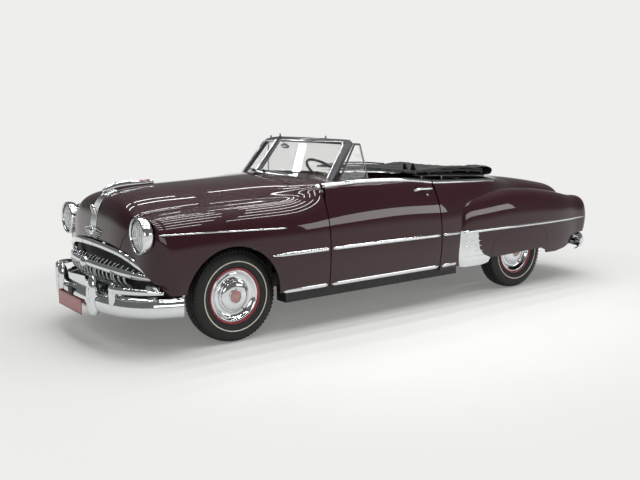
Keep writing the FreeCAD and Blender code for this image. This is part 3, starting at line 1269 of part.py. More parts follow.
def make_parking_lamp():
    centre = at(PARKING_LAMP_SHARES)
    return rounded_box(centre.x, centre.x - PARKING_LENGTH, centre.y - PARKING_WIDTH / 2,
                       centre.y + PARKING_WIDTH / 2, centre.z - PARKING_HEIGHT / 2, centre.z + PARKING_HEIGHT / 2,
                       PLATE)


def make_vent_glass():
    """Small side window ahead of the door glass, with its corner on the pillar's line."""
    points = [at(p) for p in VENT_SHARES]
    normal = (points[1] - points[0]).cross(points[2] - points[0]).normalize()
    points[3] = points[3] - normal * normal.dot(points[3] - points[0])
    return largest(prism(points, normal * GLASS).cut(thick))


pieces = {}
pieces["hood"] = make_hood()
pieces["front_fender_left"] = make_front_fender()
pieces["cowl"] = make_cowl()
pieces["door_left"] = make_door()
pieces["rear_bumper"] = joined(make_bumper(REAR_BAR_SHARES, REAR_BAR_BOTTOM, -1, RAIL_SHARES[-1]))
pieces["rear_body"] = make_rear_body().cut(pieces["rear_bumper"])
pieces["rear_fender_left"] = make_rear_fender()
pieces["fender_skirts"] = both(make_skirt())
pieces["stone_guards"] = both(make_stone_guard())
pieces["decklid"] = make_decklid()
pieces["windshield_frame"] = make_windshield_frame()
pieces["windshield_glass"] = make_windshield_glass(pieces["windshield_frame"])
pieces["vent_window_left"] = make_vent_glass()
pieces["chassis_frame"] = make_chassis_frame()
pieces["floor_pan"] = make_floor().cut(pieces["rear_body"])
pieces["front_suspension"] = make_front_suspension()
pieces["rear_axle"] = make_rear_axle()
pieces["leaf_springs"] = both(make_leaf_spring())
pieces["engine_block"] = make_engine()
pieces["radiator"] = make_radiator()
pieces["exhaust"] = make_exhaust()
pieces["fuel_tank"] = make_tank()
front_wing = make_front_wing()
pieces["front_bumper"] = joined(make_bumper(FRONT_BAR_SHARES, FRONT_BAR_BOTTOM, 1, RAIL_SHARES[0])
                                + [front_wing, mirrored(front_wing)])
pieces["grille"] = make_grille()
pieces["headlamps"] = both(lamp_bowl(at(LAMP_CENTRE_SHARES), LAMP_R, LAMP_DEPTH, PLATE))
pieces["headlamp_lenses"] = both(lens_dome(at(LAMP_CENTRE_SHARES), LENS_R, LENS_BULGE, GLASS))
pieces["parking_lamps"] = both(make_parking_lamp())
pieces["tail_lamps"] = both(make_tail_lamp())
pieces["dashboard"] = make_dashboard()
pieces["steering_column"] = make_column()
pieces["steering_wheel"] = make_steering_wheel()
front_seat_x = st(FRONT_SEAT_SHARE)
rear_seat_x = st(REAR_SEAT_SHARE)
pieces["front_seat_cushion"] = make_cushion(front_seat_x, FRONT_SEAT_LENGTH, SEAT_HALF_WIDTH, FRONT_CUSHION_Z)
pieces["front_seat_back"] = make_seat_back(front_seat_x - FRONT_SEAT_LENGTH - SEAT_GAP, SEAT_HALF_WIDTH,
                                           FRONT_CUSHION_Z, FRONT_BACK_TOP)
pieces["rear_seat_cushion"] = make_cushion(rear_seat_x, REAR_SEAT_LENGTH, REAR_SEAT_HALF_WIDTH,
                                             REAR_PAN_Z + PLATE + SEAT_GAP)
pieces["rear_seat_back"] = make_seat_back(rear_seat_x - REAR_SEAT_LENGTH - SEAT_GAP, REAR_SEAT_HALF_WIDTH,
                                          TRUNK_FLOOR_Z + PLATE + SEAT_GAP, REAR_BACK_TOP)
pieces["folded_top"] = make_folded_top()
pieces["top_irons"] = both(make_irons(pieces["folded_top"], pieces["rear_body"]))
pieces["hood_ornament"] = make_ornament()
for side, label in ((1, "left"), (-1, "right")):
    for end, axle_x, track in (("front", FRONT_AXLE_X, FRONT_TRACK), ("rear", REAR_AXLE_X, REAR_TRACK)):
        centre = V(axle_x, side * track / 2, TYRE_R)
        pieces["tyre_" + end + "_" + label] = make_tyre(centre)
        pieces["wheel_" + end + "_" + label] = make_wheel(centre, side)
    pieces["knuckle_" + label] = make_knuckle(side)
for name in ("front_fender", "door", "rear_fender", "vent_window"):
    pieces[name + "_right"] = mirrored(pieces[name + "_left"])

os.makedirs("parts", exist_ok=True)
for name, shape in pieces.items():
    shape.exportStep("parts/" + name + ".step")
    print(name, shape.isValid(), len(shape.Solids), round(shape.Volume / 1e6, 2))
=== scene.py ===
# Looks of a two-door open car of about 1950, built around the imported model.
# Everything is in metres: X forward, Y to the car's left, Z up, the ground at zero.
import bpy
import bmesh
import numpy as np
from math import asin, atan2, cos, pi, radians, sin, sqrt
from mathutils import Matrix, Vector
from mathutils.bvhtree import BVHTree
from mathutils.interpolate import poly_3d_calc


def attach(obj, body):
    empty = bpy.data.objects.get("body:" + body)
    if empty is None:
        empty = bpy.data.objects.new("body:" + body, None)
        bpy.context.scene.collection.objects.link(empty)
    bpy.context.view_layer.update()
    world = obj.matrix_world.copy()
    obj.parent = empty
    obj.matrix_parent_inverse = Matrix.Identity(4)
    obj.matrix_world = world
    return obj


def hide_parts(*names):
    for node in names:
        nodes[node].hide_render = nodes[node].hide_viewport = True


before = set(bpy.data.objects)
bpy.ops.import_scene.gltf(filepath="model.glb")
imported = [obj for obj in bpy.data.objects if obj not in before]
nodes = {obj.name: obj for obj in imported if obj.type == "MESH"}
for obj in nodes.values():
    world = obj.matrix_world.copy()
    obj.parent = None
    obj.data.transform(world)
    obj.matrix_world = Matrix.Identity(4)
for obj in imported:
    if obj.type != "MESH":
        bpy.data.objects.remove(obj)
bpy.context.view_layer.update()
forwards, leftwards, upwards = Vector((1, 0, 0)), Vector((0, 1, 0)), Vector((0, 0, 1))
bothSides = ((1, "Left"), (-1, "Right"))

# What the whole car shares; the skins' tables are shares of these
car = {
    "wheelbase": 3.048,
    "frontAxle": 1.626,
    "halfWidth": 0.96,
    "shoulder": 1.000,
    "tyreRadius": 0.35,
    "frontTrack": 1.473,
    "rearTrack": 1.499,
}


# Colours, nodes and materials
def link(obj):
    bpy.context.scene.collection.objects.link(obj)


def toLinear(hexColour, alpha=1.0):
    parts = [int(hexColour[k:k + 2], 16) / 255 for k in (1, 3, 5)]
    return tuple(c / 12.92 if c <= .04045 else ((c + .055) / 1.055) ** 2.4 for c in parts) + (alpha,)


def addNode(tree, kind, settings=None, links=None):
    node = tree.nodes.new(kind)
    for key, value in (settings or {}).items():
        if hasattr(node, str(key)):
            setattr(node, key, value)
        else:
            node.inputs[key].default_value = value
    for key, socket in (links or {}).items():
        tree.links.new(socket, node.inputs[key])
    return node


def makeMaterial(name, look, pattern=None):
    material = bpy.data.materials.new(name)
    material.use_nodes = True
    tree = material.node_tree
    shader = tree.nodes["Principled BSDF"]
    for key, value in look.items():
        shader.inputs[key].default_value = toLinear(value) if isinstance(value, str) else value
    if pattern:
        coords = addNode(tree, "ShaderNodeTexCoord").outputs["Object"]
        pattern(tree, shader, coords)
    return material


def patterned(pattern, *how):
    # a pattern with its own values given, ready for makeMaterial
    return lambda tree, shader, coords: pattern(tree, shader, coords, *how)


def paint(tree, shader, share, pale, dark):
    # base colour between a dark and a pale one
    blend = addNode(tree, "ShaderNodeMix", {"data_type": "RGBA"}, {"Factor": share})
    blend.inputs[6].default_value = toLinear(dark)
    blend.inputs[7].default_value = toLinear(pale)
    tree.links.new(blend.outputs[2], shader.inputs["Base Color"])


def emboss(tree, shader, height, depth, strength):
    bump = addNode(tree, "ShaderNodeBump", {"Distance": depth, "Strength": strength}, {"Height": height})
    tree.links.new(bump.outputs[0], shader.inputs["Normal"])


def mottle(tree, shader, coords, sizeMm, pale=None, dark=None, rough=None, bumpMm=0):
    # cloudy variation of a real size in millimetres: colour, roughness and a shallow bump
    cloud = addNode(tree, "ShaderNodeTexNoise", {"Scale": 1000 / sizeMm, "Detail": 4.0, "Roughness": .6},
                    {"Vector": coords})
    value = cloud.outputs["Fac"]
    if pale:
        paint(tree, shader, value, pale, dark)
    if rough:
        spread = addNode(tree, "ShaderNodeMapRange", {"To Min": rough[0], "To Max": rough[1], "From Min": .3,
                                                      "From Max": .7}, {"Value": value})
        tree.links.new(spread.outputs[0], shader.inputs["Roughness"])
    if bumpMm:
        emboss(tree, shader, value, bumpMm / 1000, .6)


def weave(tree, shader, coords, threadMm, pale, dark, bumpMm):
    # plain weave: two crossed wave patterns, one for warp and one for weft
    waves = []
    for turn in (0, pi / 2):
        turned = addNode(tree, "ShaderNodeMapping", {"Rotation": (0, 0, turn)}, {"Vector": coords})
        wave = addNode(tree, "ShaderNodeTexWave", {"Scale": 1000 / threadMm / 6.283, "Distortion": .4,
                                                   "Detail": 1.0}, {"Vector": turned.outputs[0]})
        waves.append(wave.outputs["Fac"])
    crossed = addNode(tree, "ShaderNodeMath", {"operation": "MULTIPLY"}, {0: waves[0], 1: waves[1]})
    paint(tree, shader, crossed.outputs[0], pale, dark)
    emboss(tree, shader, crossed.outputs[0], bumpMm / 1000, .7)


def hide(tree, shader, coords, cellMm, pale, dark, bumpMm):
    # leather grain: cell walls of a Voronoi pattern, with cloudy colour
    cells = addNode(tree, "ShaderNodeTexVoronoi", {"feature": "DISTANCE_TO_EDGE", "Scale": 1000 / cellMm},
                    {"Vector": coords})
    cloud = addNode(tree, "ShaderNodeTexNoise", {"Scale": 9.0, "Detail": 3.0}, {"Vector": coords})
    paint(tree, shader, cloud.outputs["Fac"], pale, dark)
    emboss(tree, shader, cells.outputs["Distance"], bumpMm / 1000, .5)


# Cellulose lacquer, sprayed and polished: deep colour under a clear gloss
lacquer = makeMaterial("maroonLacquer", {"Base Color": "#2d0710", "Roughness": .45, "Specular IOR Level": .1,
                                         "Coat Weight": 1.0, "Coat Roughness": .015, "Coat IOR": 1.45},
                       patterned(mottle, 60, "#300811", "#2a060f", (.4, .5)))
# Polished chrome plate: a near mirror, a little milky where it was buffed
chrome = makeMaterial("chromePlate", {"Base Color": "#dcdee0", "Metallic": 1.0, "Roughness": .05},
                      patterned(mottle, 35, "#e2e4e6", "#d2d4d6", (.03, .08)))
# Die-cast base plate under thin chrome, greyer and softer
dullChrome = makeMaterial("dullChrome", {"Base Color": "#a9abae", "Metallic": 1.0, "Roughness": .2},
                          patterned(mottle, 20, "#b4b6b8", "#9a9c9f", (.14, .28)))
# Vulcanised rubber: matte black with a dusty bloom
tyreRubber = makeMaterial("tyreRubber", {"Base Color": "#141413", "Roughness": .62},
                          patterned(mottle, 12, "#1b1b1a", "#111110", (.5, .72), .08))
whiteRubber = makeMaterial("whiteRubber", {"Base Color": "#d9d5c8", "Roughness": .55},
                           patterned(mottle, 9, "#ded9cc", "#c9c4b6", (.5, .65)))
rubberSeal = makeMaterial("rubberSeal", {"Base Color": "#1a1a1c", "Roughness": .5},
                          patterned(mottle, 8, "#222225", "#151517", (.42, .6)))
# Wheel enamel: stoved red gloss
redEnamel = makeMaterial("redEnamel", {"Base Color": "#8e1626", "Roughness": .22, "Coat Weight": .6,
                                       "Coat Roughness": .05},
                         patterned(mottle, 25, "#961829", "#841322", (.2, .3)))
# Emblem enamel in the hubcap: old rose glass enamel over metal
roseEnamel = makeMaterial("roseEnamel", {"Base Color": "#a8807c", "Roughness": .25, "Metallic": .35,
                                         "Coat Weight": .8},
                          patterned(mottle, 6, "#b98d88", "#96706c", (.2, .35)))
plateEnamel = makeMaterial("plateEnamel", {"Base Color": "#a63a40", "Roughness": .35, "Coat Weight": .4},
                           patterned(mottle, 30, "#ad4046", "#9d3339", (.3, .42)))
# Satin chassis black, brushed on
chassisBlack = makeMaterial("chassisBlack", {"Base Color": "#161616", "Roughness": .5},
                            patterned(mottle, 40, "#1e1d1c", "#111111", (.4, .65), .2))
castIron = makeMaterial("castIron", {"Base Color": "#2b2b2c", "Roughness": .7, "Metallic": .4},
                        patterned(mottle, 5, "#38373a", "#232224", (.6, .85), .4))
engineEnamel = makeMaterial("engineEnamel", {"Base Color": "#27423a", "Roughness": .45},
                            patterned(mottle, 18, "#2c4a41", "#213a33", (.38, .6), .3))
exhaustSteel = makeMaterial("exhaustSteel", {"Base Color": "#6f6a64", "Roughness": .45, "Metallic": .9},
                            patterned(mottle, 30, "#7d766d", "#5a5149", (.35, .6), .15))
# Window glass, clear with a trace of green
clearGlass = makeMaterial("clearGlass", {"Base Color": "#f2f8f5", "Roughness": .0, "Transmission Weight": 1.0,
                                         "IOR": 1.5, "Alpha": .13},
                          patterned(mottle, 400, None, None, (.0, .012)))
lampGlass = makeMaterial("lampGlass", {"Base Color": "#f4f6f6", "Roughness": .03, "Transmission Weight": .85,
                                       "IOR": 1.5})


def flutes(tree, shader, coords):
    # pressed prisms of a lamp glass: upright flutes
    wave = addNode(tree, "ShaderNodeTexWave", {"bands_direction": "Y", "Scale": 1000 / 11 / 6.283,
                                               "Distortion": 0.0}, {"Vector": coords})
    emboss(tree, shader, wave.outputs["Fac"], .0025, .8)


# Pressed lamp glass, clear with upright flutes
flutedGlass = makeMaterial("flutedGlass", {"Base Color": "#f6f8f8", "Roughness": .02, "Transmission Weight": .9,
                                           "IOR": 1.5}, flutes)
# Silvered reflector behind the lamp glass
lampSilver = makeMaterial("lampSilver", {"Base Color": "#e9ecee", "Metallic": 1.0, "Roughness": .12},
                          patterned(mottle, 15, "#eef0f2", "#dfe2e4", (.08, .18)))
redGlass = makeMaterial("redGlass", {"Base Color": "#9b0f12", "Roughness": .08, "Transmission Weight": .5,
                                     "IOR": 1.5}, patterned(mottle, 14, "#a81215", "#8a0c0f", (.06, .14)))
# Coated duck of the folded top: coarse black weave
topCloth = makeMaterial("topCloth", {"Roughness": .85, "Sheen Weight": .1, "Sheen Roughness": .5},
                        patterned(weave, 3.0, "#131414", "#080909", .5))
# Upholstery hide, soft and faintly grained
seatHide = makeMaterial("seatHide", {"Roughness": .45, "Sheen Weight": .1},
                        patterned(hide, 4.0, "#a08f90", "#8b7b7d", .25))
paleHide = makeMaterial("paleHide", {"Roughness": .5, "Sheen Weight": .1},
                        patterned(hide, 4.0, "#cbbfb8", "#b9aca5", .25))
carpet = makeMaterial("carpet", {"Roughness": .95, "Sheen Weight": .3},
                      patterned(mottle, 6, "#56464a", "#3a2f33", (.9, 1.0), 2.0))
dashEnamel = makeMaterial("dashEnamel", {"Base Color": "#4a4042", "Roughness": .3, "Coat Weight": .5},
                          patterned(mottle, 30, "#504547", "#433a3c", (.26, .36)))
darkPlastic = makeMaterial("darkPlastic", {"Base Color": "#1d1718", "Roughness": .25, "Coat Weight": .4},
                           patterned(mottle, 25, "#231c1d", "#181213", (.2, .32)))
# Dark enamel of the windshield header and pillars
headerEnamel = makeMaterial("headerEnamel", {"Base Color": "#26252c", "Roughness": .3, "Coat Weight": .5},
                            patterned(mottle, 30, "#2b2a32", "#212026", (.26, .38)))
dialFace = makeMaterial("dialFace", {"Base Color": "#c9c2b2", "Roughness": .4},
                        patterned(mottle, 8, "#d0c9ba", "#bdb6a6", (.35, .5)))
print("materials made")

# Which finish the frame's own pieces take
finishes = (
    (chassisBlack, "chassis_frame floor_pan front_suspension leaf_springs radiator fuel_tank steering_column"),
    (dullChrome, "top_irons"), (castIron, "knuckle_left knuckle_right rear_axle"), (exhaustSteel, "exhaust"),
    (engineEnamel, "engine_block"), (dashEnamel, "dashboard"), (darkPlastic, "steering_wheel"),
    (chrome, "front_bumper rear_bumper grille headlamps hood_ornament windshield_frame wheel_front_left "
             "wheel_front_right wheel_rear_left wheel_rear_right stone_guards"),
    (lampGlass, "headlamp_lenses parking_lamps"), (redGlass, "tail_lamps"), (topCloth, "folded_top"),
    (clearGlass, "windshield_glass vent_window_left vent_window_right"),
    (seatHide, "front_seat_cushion front_seat_back rear_seat_cushion rear_seat_back"),
    (tyreRubber, "tyre_front_left tyre_front_right tyre_rear_left tyre_rear_right"),
    (lacquer, "hood cowl front_fender_left front_fender_right door_left door_right rear_body rear_fender_left "
              "rear_fender_right fender_skirts decklid"),
)
for finish, nodeNames in finishes:
    for nodeName in nodeNames.split():
        for slot in nodes[nodeName].material_slots:
            slot.material = finish
print("frame pieces finished")


# Skins: the same nets of points as the body panels, as shares of the car's sizes
bodyRails = (
    ((.15, 0, 1.155), (-.05, 0, 1.172), (-.26, 0, 1.185), (-.52, 0, 1.17), (-.9, 0, 1.08), (-1.05, 0, 1.05),
     (-1.17, 0, 1.005), (-1.27, 0, .955)),
    ((.15, .345, 1.125), (-.05, .355, 1.145), (-.26, .36, 1.175), (-.52, .36, 1.165), (-.9, .36, 1.075),
     (-1.05, .34, 1.045), (-1.17, .32, 1.0), (-1.27, .3, .95)),
    ((.15, .5, 1.07), (-.05, .51, 1.095), (-.26, .56, 1.16), (-.52, .58, 1.155), (-.9, .56, 1.07),
     (-1.05, .5, 1.03), (-1.17, .465, .985), (-1.27, .44, .935)),
    ((.15, .575, 1.015), (-.05, .59, 1.045), (-.16, .66, 1.075), (-.26, .845, 1.135), (-.4, .854, 1.142),
     (-.52, .856, 1.135), (-.6, .852, 1.11), (-.66, .845, 1.082), (-.9, .8, 1.06), (-1.05, .62, .99),
     (-1.17, .555, .955), (-1.27, .52, .905)),
    ((.15, .645, .987), (-.05, .66, 1.015), (-.16, .72, 1.03), (-.26, .872, 1.085), (-.52, .885, 1.075),
     (-.66, .878, 1.03), (-.9, .835, 1.0), (-1.05, .665, .93), (-1.17, .6, .91), (-1.27, .57, .865)),
    ((.15, .805, 1.003), (-.05, .815, 1.03), (-.16, .84, 1.025), (-.26, .9, 1.02), (-.52, .92, 1.0),
     (-.66, .915, .97), (-.9, .86, .93), (-1.05, .7, .87), (-1.17, .64, .85), (-1.27, .61, .81)),
    ((.15, .905, .925), (-.05, .925, .94), (-.26, .952, .91), (-.52, .966, .89), (-.66, .962, .86),
     (-.9, .88, .82), (-1.05, .73, .78), (-1.17, .67, .76), (-1.27, .64, .74)),
    ((.15, .955, .78), (-.05, .977, .78), (-.26, .989, .74), (-.52, .994, .7), (-.7, .985, .67),
     (-.9, .89, .66), (-1.05, .74, .65), (-1.17, .68, .65), (-1.27, .65, .64)),
    ((.15, .955, .56), (-.05, .972, .56), (-.26, .984, .53), (-.52, .989, .5), (-.7, .978, .49),
     (-.9, .885, .5), (-1.05, .73, .53), (-1.17, .67, .54), (-1.27, .645, .54)),
    ((.15, .93, .36), (-.05, .945, .345), (-.26, .952, .325), (-.52, .955, .315), (-.7, .945, .31),
     (-.9, .86, .36), (-1.05, .71, .42), (-1.17, .65, .44), (-1.27, .63, .45)),
)
bodyStations = (.15, .08, 0, -.08, -.16, -.21, -.26, -.33, -.42, -.52, -.6, -.66, -.74, -.82, -.9,
                -.98, -1.05, -1.12, -1.2, -1.27)
bodyNose = ((.249, 0, .775), (.247, .31, .765), (.243, .46, .745), (.236, .56, .715), (.229, .645, .675),
            (.225, .755, .62), (.213, .835, .54), (.19, .885, .48), (.176, .915, .43), (.16, .935, .37))
bodyNosePowers = (.7, .66, .6, .52, .45, .4, .45, .6, .7, .8)
bodyTail = ((-1.352, 0, .44), (-1.35, .28, .44), (-1.346, .42, .44), (-1.341, .5, .44), (-1.336, .55, .44),
            (-1.33, .58, .45), (-1.322, .6, .46), (-1.314, .6, .46), (-1.306, .6, .45), (-1.3, .6, .44))
bodyTailPowers = (.55, .55, .55, .6, .6, .6, .65, .7, .7, .7)
fenderStations = (-.82, -.87, -.93, -1.0, -1.06, -1.12, -1.17, -1.22, -1.27)
fenderSizes = ((-.82, .935, .305, .998), (-.9, .957, .3, 1.002), (-1.0, .96, .3, 1.003),
               (-1.1, .93, .3, .999), (-1.2, .88, .31, .975), (-1.27, .83, .36, .93))
fenderSection = ((0, .9), (.3, .985), (.6, 1.0), (.82, .93), (.94, .8), (1.0, .58), (1.0, .36),
                 (.985, .15), (.93, 0))
fenderInner = .62
fenderFront = ((-.8, .62, .8), (-.775, .74, .84), (-.755, .84, .84), (-.735, .895, .8), (-.722, .925, .7),
               (-.72, .94, .58), (-.72, .94, .46), (-.722, .93, .36), (-.73, .91, .31))
fenderTail = ((-1.315, .62, .74), (-1.33, .69, .74), (-1.34, .74, .72), (-1.342, .78, .68),
              (-1.342, .81, .63), (-1.34, .82, .57), (-1.335, .82, .52), (-1.325, .82, .47),
              (-1.31, .81, .43))
wrapShares = (.3, .55, .78, 1)


def station(share):
    return car["frontAxle"] + share * car["wheelbase"]


def place(shares):
    return Vector((station(shares[0]), shares[1] * car["halfWidth"], shares[2] * car["shoulder"]))


def blendValue(table, share, column):
    # smooth value at a station, from rows that run front to rear
    last = len(table) - 1
    k = 0
    while k < last - 1 and share < table[k + 1][0]:
        k += 1
    (x0, v0), (x1, v1) = ((row[0], row[column]) for row in table[k:k + 2])
    before = after = (v1 - v0) / (x1 - x0)
    if k > 0:
        before = (v1 - table[k - 1][column]) / (x1 - table[k - 1][0])
    if k < last - 1:
        after = (table[k + 2][column] - v0) / (table[k + 2][0] - x0)
    t = (share - x0) / (x1 - x0)
    return ((1 + 2 * t) * (1 - t) ** 2 * v0 + t * (1 - t) ** 2 * (x1 - x0) * before
            + t * t * (3 - 2 * t) * v1 + t * t * (t - 1) * (x1 - x0) * after)


def railPoint(rail, share):
    return share, blendValue(rail, share, 1), blendValue(rail, share, 2)


def wrappedPoint(start, end, turn, power):
    forward = sin(turn * pi / 2) ** power
    level = cos(turn * pi / 2) ** power
    return place((start[0] + (end[0] - start[0]) * forward, end[1] + (start[1] - end[1]) * level,
                  end[2] + (start[2] - end[2]) * level))


def netOf(rails, stations, nose, nosePowers, tail, tailPowers):
    def wrapRow(share, edges, powers, turn):
        return [wrappedPoint(railPoint(rail, share), edge, turn, power)
                for rail, edge, power in zip(rails, edges, powers)]
    rows = [wrapRow(stations[0], nose, nosePowers, turn) for turn in reversed(wrapShares)]
    rows += [[place(railPoint(rail, share)) for rail in rails]
             for share in stations]
    return rows + [wrapRow(stations[-1], tail, tailPowers, turn) for turn in wrapShares]


def splineBasis(count, samples):
    # clamped cubic basis: a row for each sample, a column for each control point
    knots = np.r_[np.zeros(3), np.linspace(0, 1, count - 2), np.ones(3)]
    t = np.clip(samples, 0, 1 - 1e-9)[:, None]
    basis = ((knots[:-1] <= t) & (t < knots[1:])).astype(float)
    for degree in (1, 2, 3):
        rise = knots[degree:-1] - knots[:-degree - 1]
        fall = knots[degree + 1:] - knots[1:-degree]
        up = np.divide(t - knots[:-degree - 1], rise, out=np.zeros((len(t), len(rise))), where=rise > 0)
        down = np.divide(knots[degree + 1:] - t, fall, out=np.zeros((len(t), len(fall))), where=fall > 0)
        basis = up * basis[:, :-1] + down * basis[:, 1:]
    return basis


def fineSkin(net, rows, columns):
    points = np.array([[tuple(p) for p in row] for row in net])
    across = splineBasis(points.shape[1], np.linspace(0, 1, columns))
    along = splineBasis(points.shape[0], np.linspace(0, 1, rows))
    grid = np.einsum("ai,ijk,bj->abk", along, points, across)
    du = np.gradient(grid, axis=0)
    dv = np.gradient(grid, axis=1)
    normals = np.cross(du, dv)
    normals /= np.linalg.norm(normals, axis=2)[:, :, None]
    verts = grid.reshape(-1, 3)
    index = np.arange(rows * columns).reshape(rows, columns)
    a, b, c, d = (index[:-1, :-1].ravel(), index[1:, :-1].ravel(), index[1:, 1:].ravel(), index[:-1, 1:].ravel())
    faces = np.concatenate([np.stack([a, b, c], 1), np.stack([a, c, d], 1)])
    return {"verts": verts, "faces": faces, "normals": normals.reshape(-1, 3), "grid": grid,
            "tree": BVHTree.FromPolygons(verts.tolist(), faces.tolist())}


bodyHalf = netOf(bodyRails, bodyStations, bodyNose, bodyNosePowers, bodyTail, bodyTailPowers)
bodyNet = [[Vector((p.x, -p.y, p.z)) for p in reversed(row[1:])] + row for row in bodyHalf]
fenderRails = [[(share, fenderInner + (outer - fenderInner) * across, low + (crown - low) * upward)
                for share, crown, low, outer in fenderSizes] for across, upward in fenderSection]
fenderPowers = (.6,) * len(fenderSection)
fenderNet = netOf(fenderRails, fenderStations, fenderFront, fenderPowers, fenderTail, fenderPowers)
mirroredNet = [[Vector((p.x, -p.y, p.z)) for p in reversed(row)] for row in fenderNet]
skins = {"body": fineSkin(bodyNet, 420, 260), "fenderLeft": fineSkin(fenderNet, 220, 120),
         "fenderRight": fineSkin(mirroredNet, 220, 120)}


def onSkin(skin, point):
    # nearest point of a skin, its outward normal and how far outside it the point lies
    spot, flat, face, distance = skin["tree"].find_nearest(point)
    corners = skin["faces"][face]
    weights = poly_3d_calc([Vector(skin["verts"][k]) for k in corners], spot)
    normal = Vector(sum(w * skin["normals"][k] for w, k in zip(weights, corners))).normalized()
    if normal.y * spot.y + .3 * normal.z < 0 and abs(spot.y) > .2 or normal.z < 0 and spot.z > .99:
        normal = -normal
    return spot, normal, (Vector(point) - spot).dot(normal)


def finishPiece(obj, body, stands=()):
    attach(obj, body)
    if stands:
        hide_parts(*stands)
    return obj


def newObject(name, mesh, material):
    obj = bpy.data.objects.new(name, mesh)
    link(obj)
    if material and not mesh.materials:
        mesh.materials.append(material)
    return obj


panelShading = {"reach": .0015, "facing": .7, "sharp": 35, "merge": 2e-5}


def dressPanel(name, nodeNames, skinNames, material, body):
    # a panel of the frame with its doubles merged, shaded by the true skin it lies on
    net = bmesh.new()
    for nodeName in nodeNames:
        net.from_mesh(nodes[nodeName].data)
    bmesh.ops.remove_doubles(net, verts=net.verts, dist=panelShading["merge"])
    mesh = bpy.data.meshes.new(name)
    net.to_mesh(mesh)
    net.free()
    mesh.shade_smooth()
    mesh.set_sharp_from_angle(angle=radians(panelShading["sharp"]))
    normals = np.empty(len(mesh.loops) * 3, np.float32)
    mesh.corner_normals.foreach_get("vector", normals)
    normals = normals.reshape(-1, 3)
    owners = np.empty(len(mesh.loops), np.int32)
    mesh.loops.foreach_get("vertex_index", owners)
    flats = np.empty(len(mesh.polygons) * 3, np.float32)
    mesh.polygons.foreach_get("normal", flats)
    totals = np.empty(len(mesh.polygons), np.int32)
    mesh.polygons.foreach_get("loop_total", totals)
    flats = np.repeat(flats.reshape(-1, 3), totals, axis=0)
    for skinName in skinNames:
        true = np.zeros((len(mesh.vertices), 3), np.float32)
        for v in mesh.vertices:
            spot, normal, out = onSkin(skins[skinName], v.co)
            if (spot - v.co).length < panelShading["reach"]:
                true[v.index] = normal
        agree = np.einsum("ij,ij->i", true[owners], flats)
        use = np.abs(agree) > panelShading["facing"]
        normals[use] = true[owners][use] * np.sign(agree[use])[:, None]
    mesh.normals_split_custom_set(normals.tolist())
    return finishPiece(newObject(name, mesh, material), body, nodeNames)


panelList = (
    ("hoodPanel", ["hood"], ["body"], "hood"), ("cowlPanel", ["cowl"], ["body"], "body"),
    ("frontFenderLeft", ["front_fender_left"], ["body"], "body"),
    ("frontFenderRight", ["front_fender_right"], ["body"], "body"),
    ("doorLeft", ["door_left"], ["body"], "door_left"), ("doorRight", ["door_right"], ["body"], "door_right"),
    ("rearBody", ["rear_body"], ["body"], "body"), ("trunkLid", ["decklid"], ["body"], "decklid"),
    ("rearFenderLeft", ["rear_fender_left"], ["fenderLeft"], "body"),
    ("rearFenderRight", ["rear_fender_right"], ["fenderRight"], "body"),
    ("wheelSkirts", ["fender_skirts"], ["fenderLeft", "fenderRight"], "body"),
)
for pieceName, nodeNames, skinNames, body in panelList:
    dressPanel(pieceName, nodeNames, skinNames, lacquer, body)
print("body panels dressed")


# Tools for trims: a growing mesh, sweeps along a path, turned forms and rounded blocks
class Form:
    # vertices and faces gathered into one mesh
    def __init__(self):
        self.verts = []
        self.faces = []

    def add(self, verts, faces):
        base = len(self.verts)
        self.verts += [Vector(v) for v in verts]
        self.faces += [[base + k for k in face] for face in faces]
        return self

    def sweep(self, *how):
        return self.add(*ringSweep(*how))

    def lathe(self, *how):
        return self.add(*turned(*how))

    def block(self, *how):
        return self.add(*roundedBlock(*how))

    def mirror(self):
        self.add([(v.x, -v.y, v.z) for v in self.verts], [face[::-1] for face in self.faces])
        return self

    def moved(self, matrix):
        self.verts = [matrix @ v for v in self.verts]
        return self

    def piece(self, name, material, body="body", slot="chrome", stands=(), sharp=38):
        mesh = bpy.data.meshes.new(name)
        mesh.from_pydata([tuple(v) for v in self.verts], [], self.faces)
        net = bmesh.new()
        net.from_mesh(mesh)
        bmesh.ops.recalc_face_normals(net, faces=net.faces)
        net.to_mesh(mesh)
        net.free()
        mesh.shade_smooth()
        mesh.set_sharp_from_angle(angle=radians(sharp))
        return finishPiece(newObject(name, mesh, material), body, stands)


def gridFaces(rows, columns):
    # four-sided faces over rows of points, one row after the other
    return [[a * columns + b, a * columns + b + 1, (a + 1) * columns + b + 1, (a + 1) * columns + b]
            for a in range(rows - 1) for b in range(columns - 1)]


def lifted(track, outs, height):
    return [p + o * height for p, o in zip(track, outs)]


def smoothPath(points, count):
    # points along a Catmull-Rom curve, evenly spaced
    points = [Vector(p) for p in points]
    padded = [points[0] * 2 - points[1]] + points + [points[-1] * 2 - points[-2]]
    dense = []
    for a, b, c, d in zip(padded, padded[1:], padded[2:], padded[3:]):
        for step in range(24):
            t = step / 24
            dense.append(.5 * ((2 * b) + (c - a) * t + (2 * a - 5 * b + 4 * c - d) * t * t
                               + (3 * b - a - 3 * c + d) * t ** 3))
    dense.append(points[-1])
    lengths = [0]
    for a, b in zip(dense, dense[1:]):
        lengths.append(lengths[-1] + (b - a).length)
    evenly = []
    k = 0
    for number in range(count):
        goal = lengths[-1] * number / (count - 1)
        while k < len(dense) - 2 and lengths[k + 1] < goal:
            k += 1
        part = (goal - lengths[k]) / max(lengths[k + 1] - lengths[k], 1e-9)
        evenly.append(dense[k].lerp(dense[k + 1], min(max(part, 0), 1)))
    return evenly


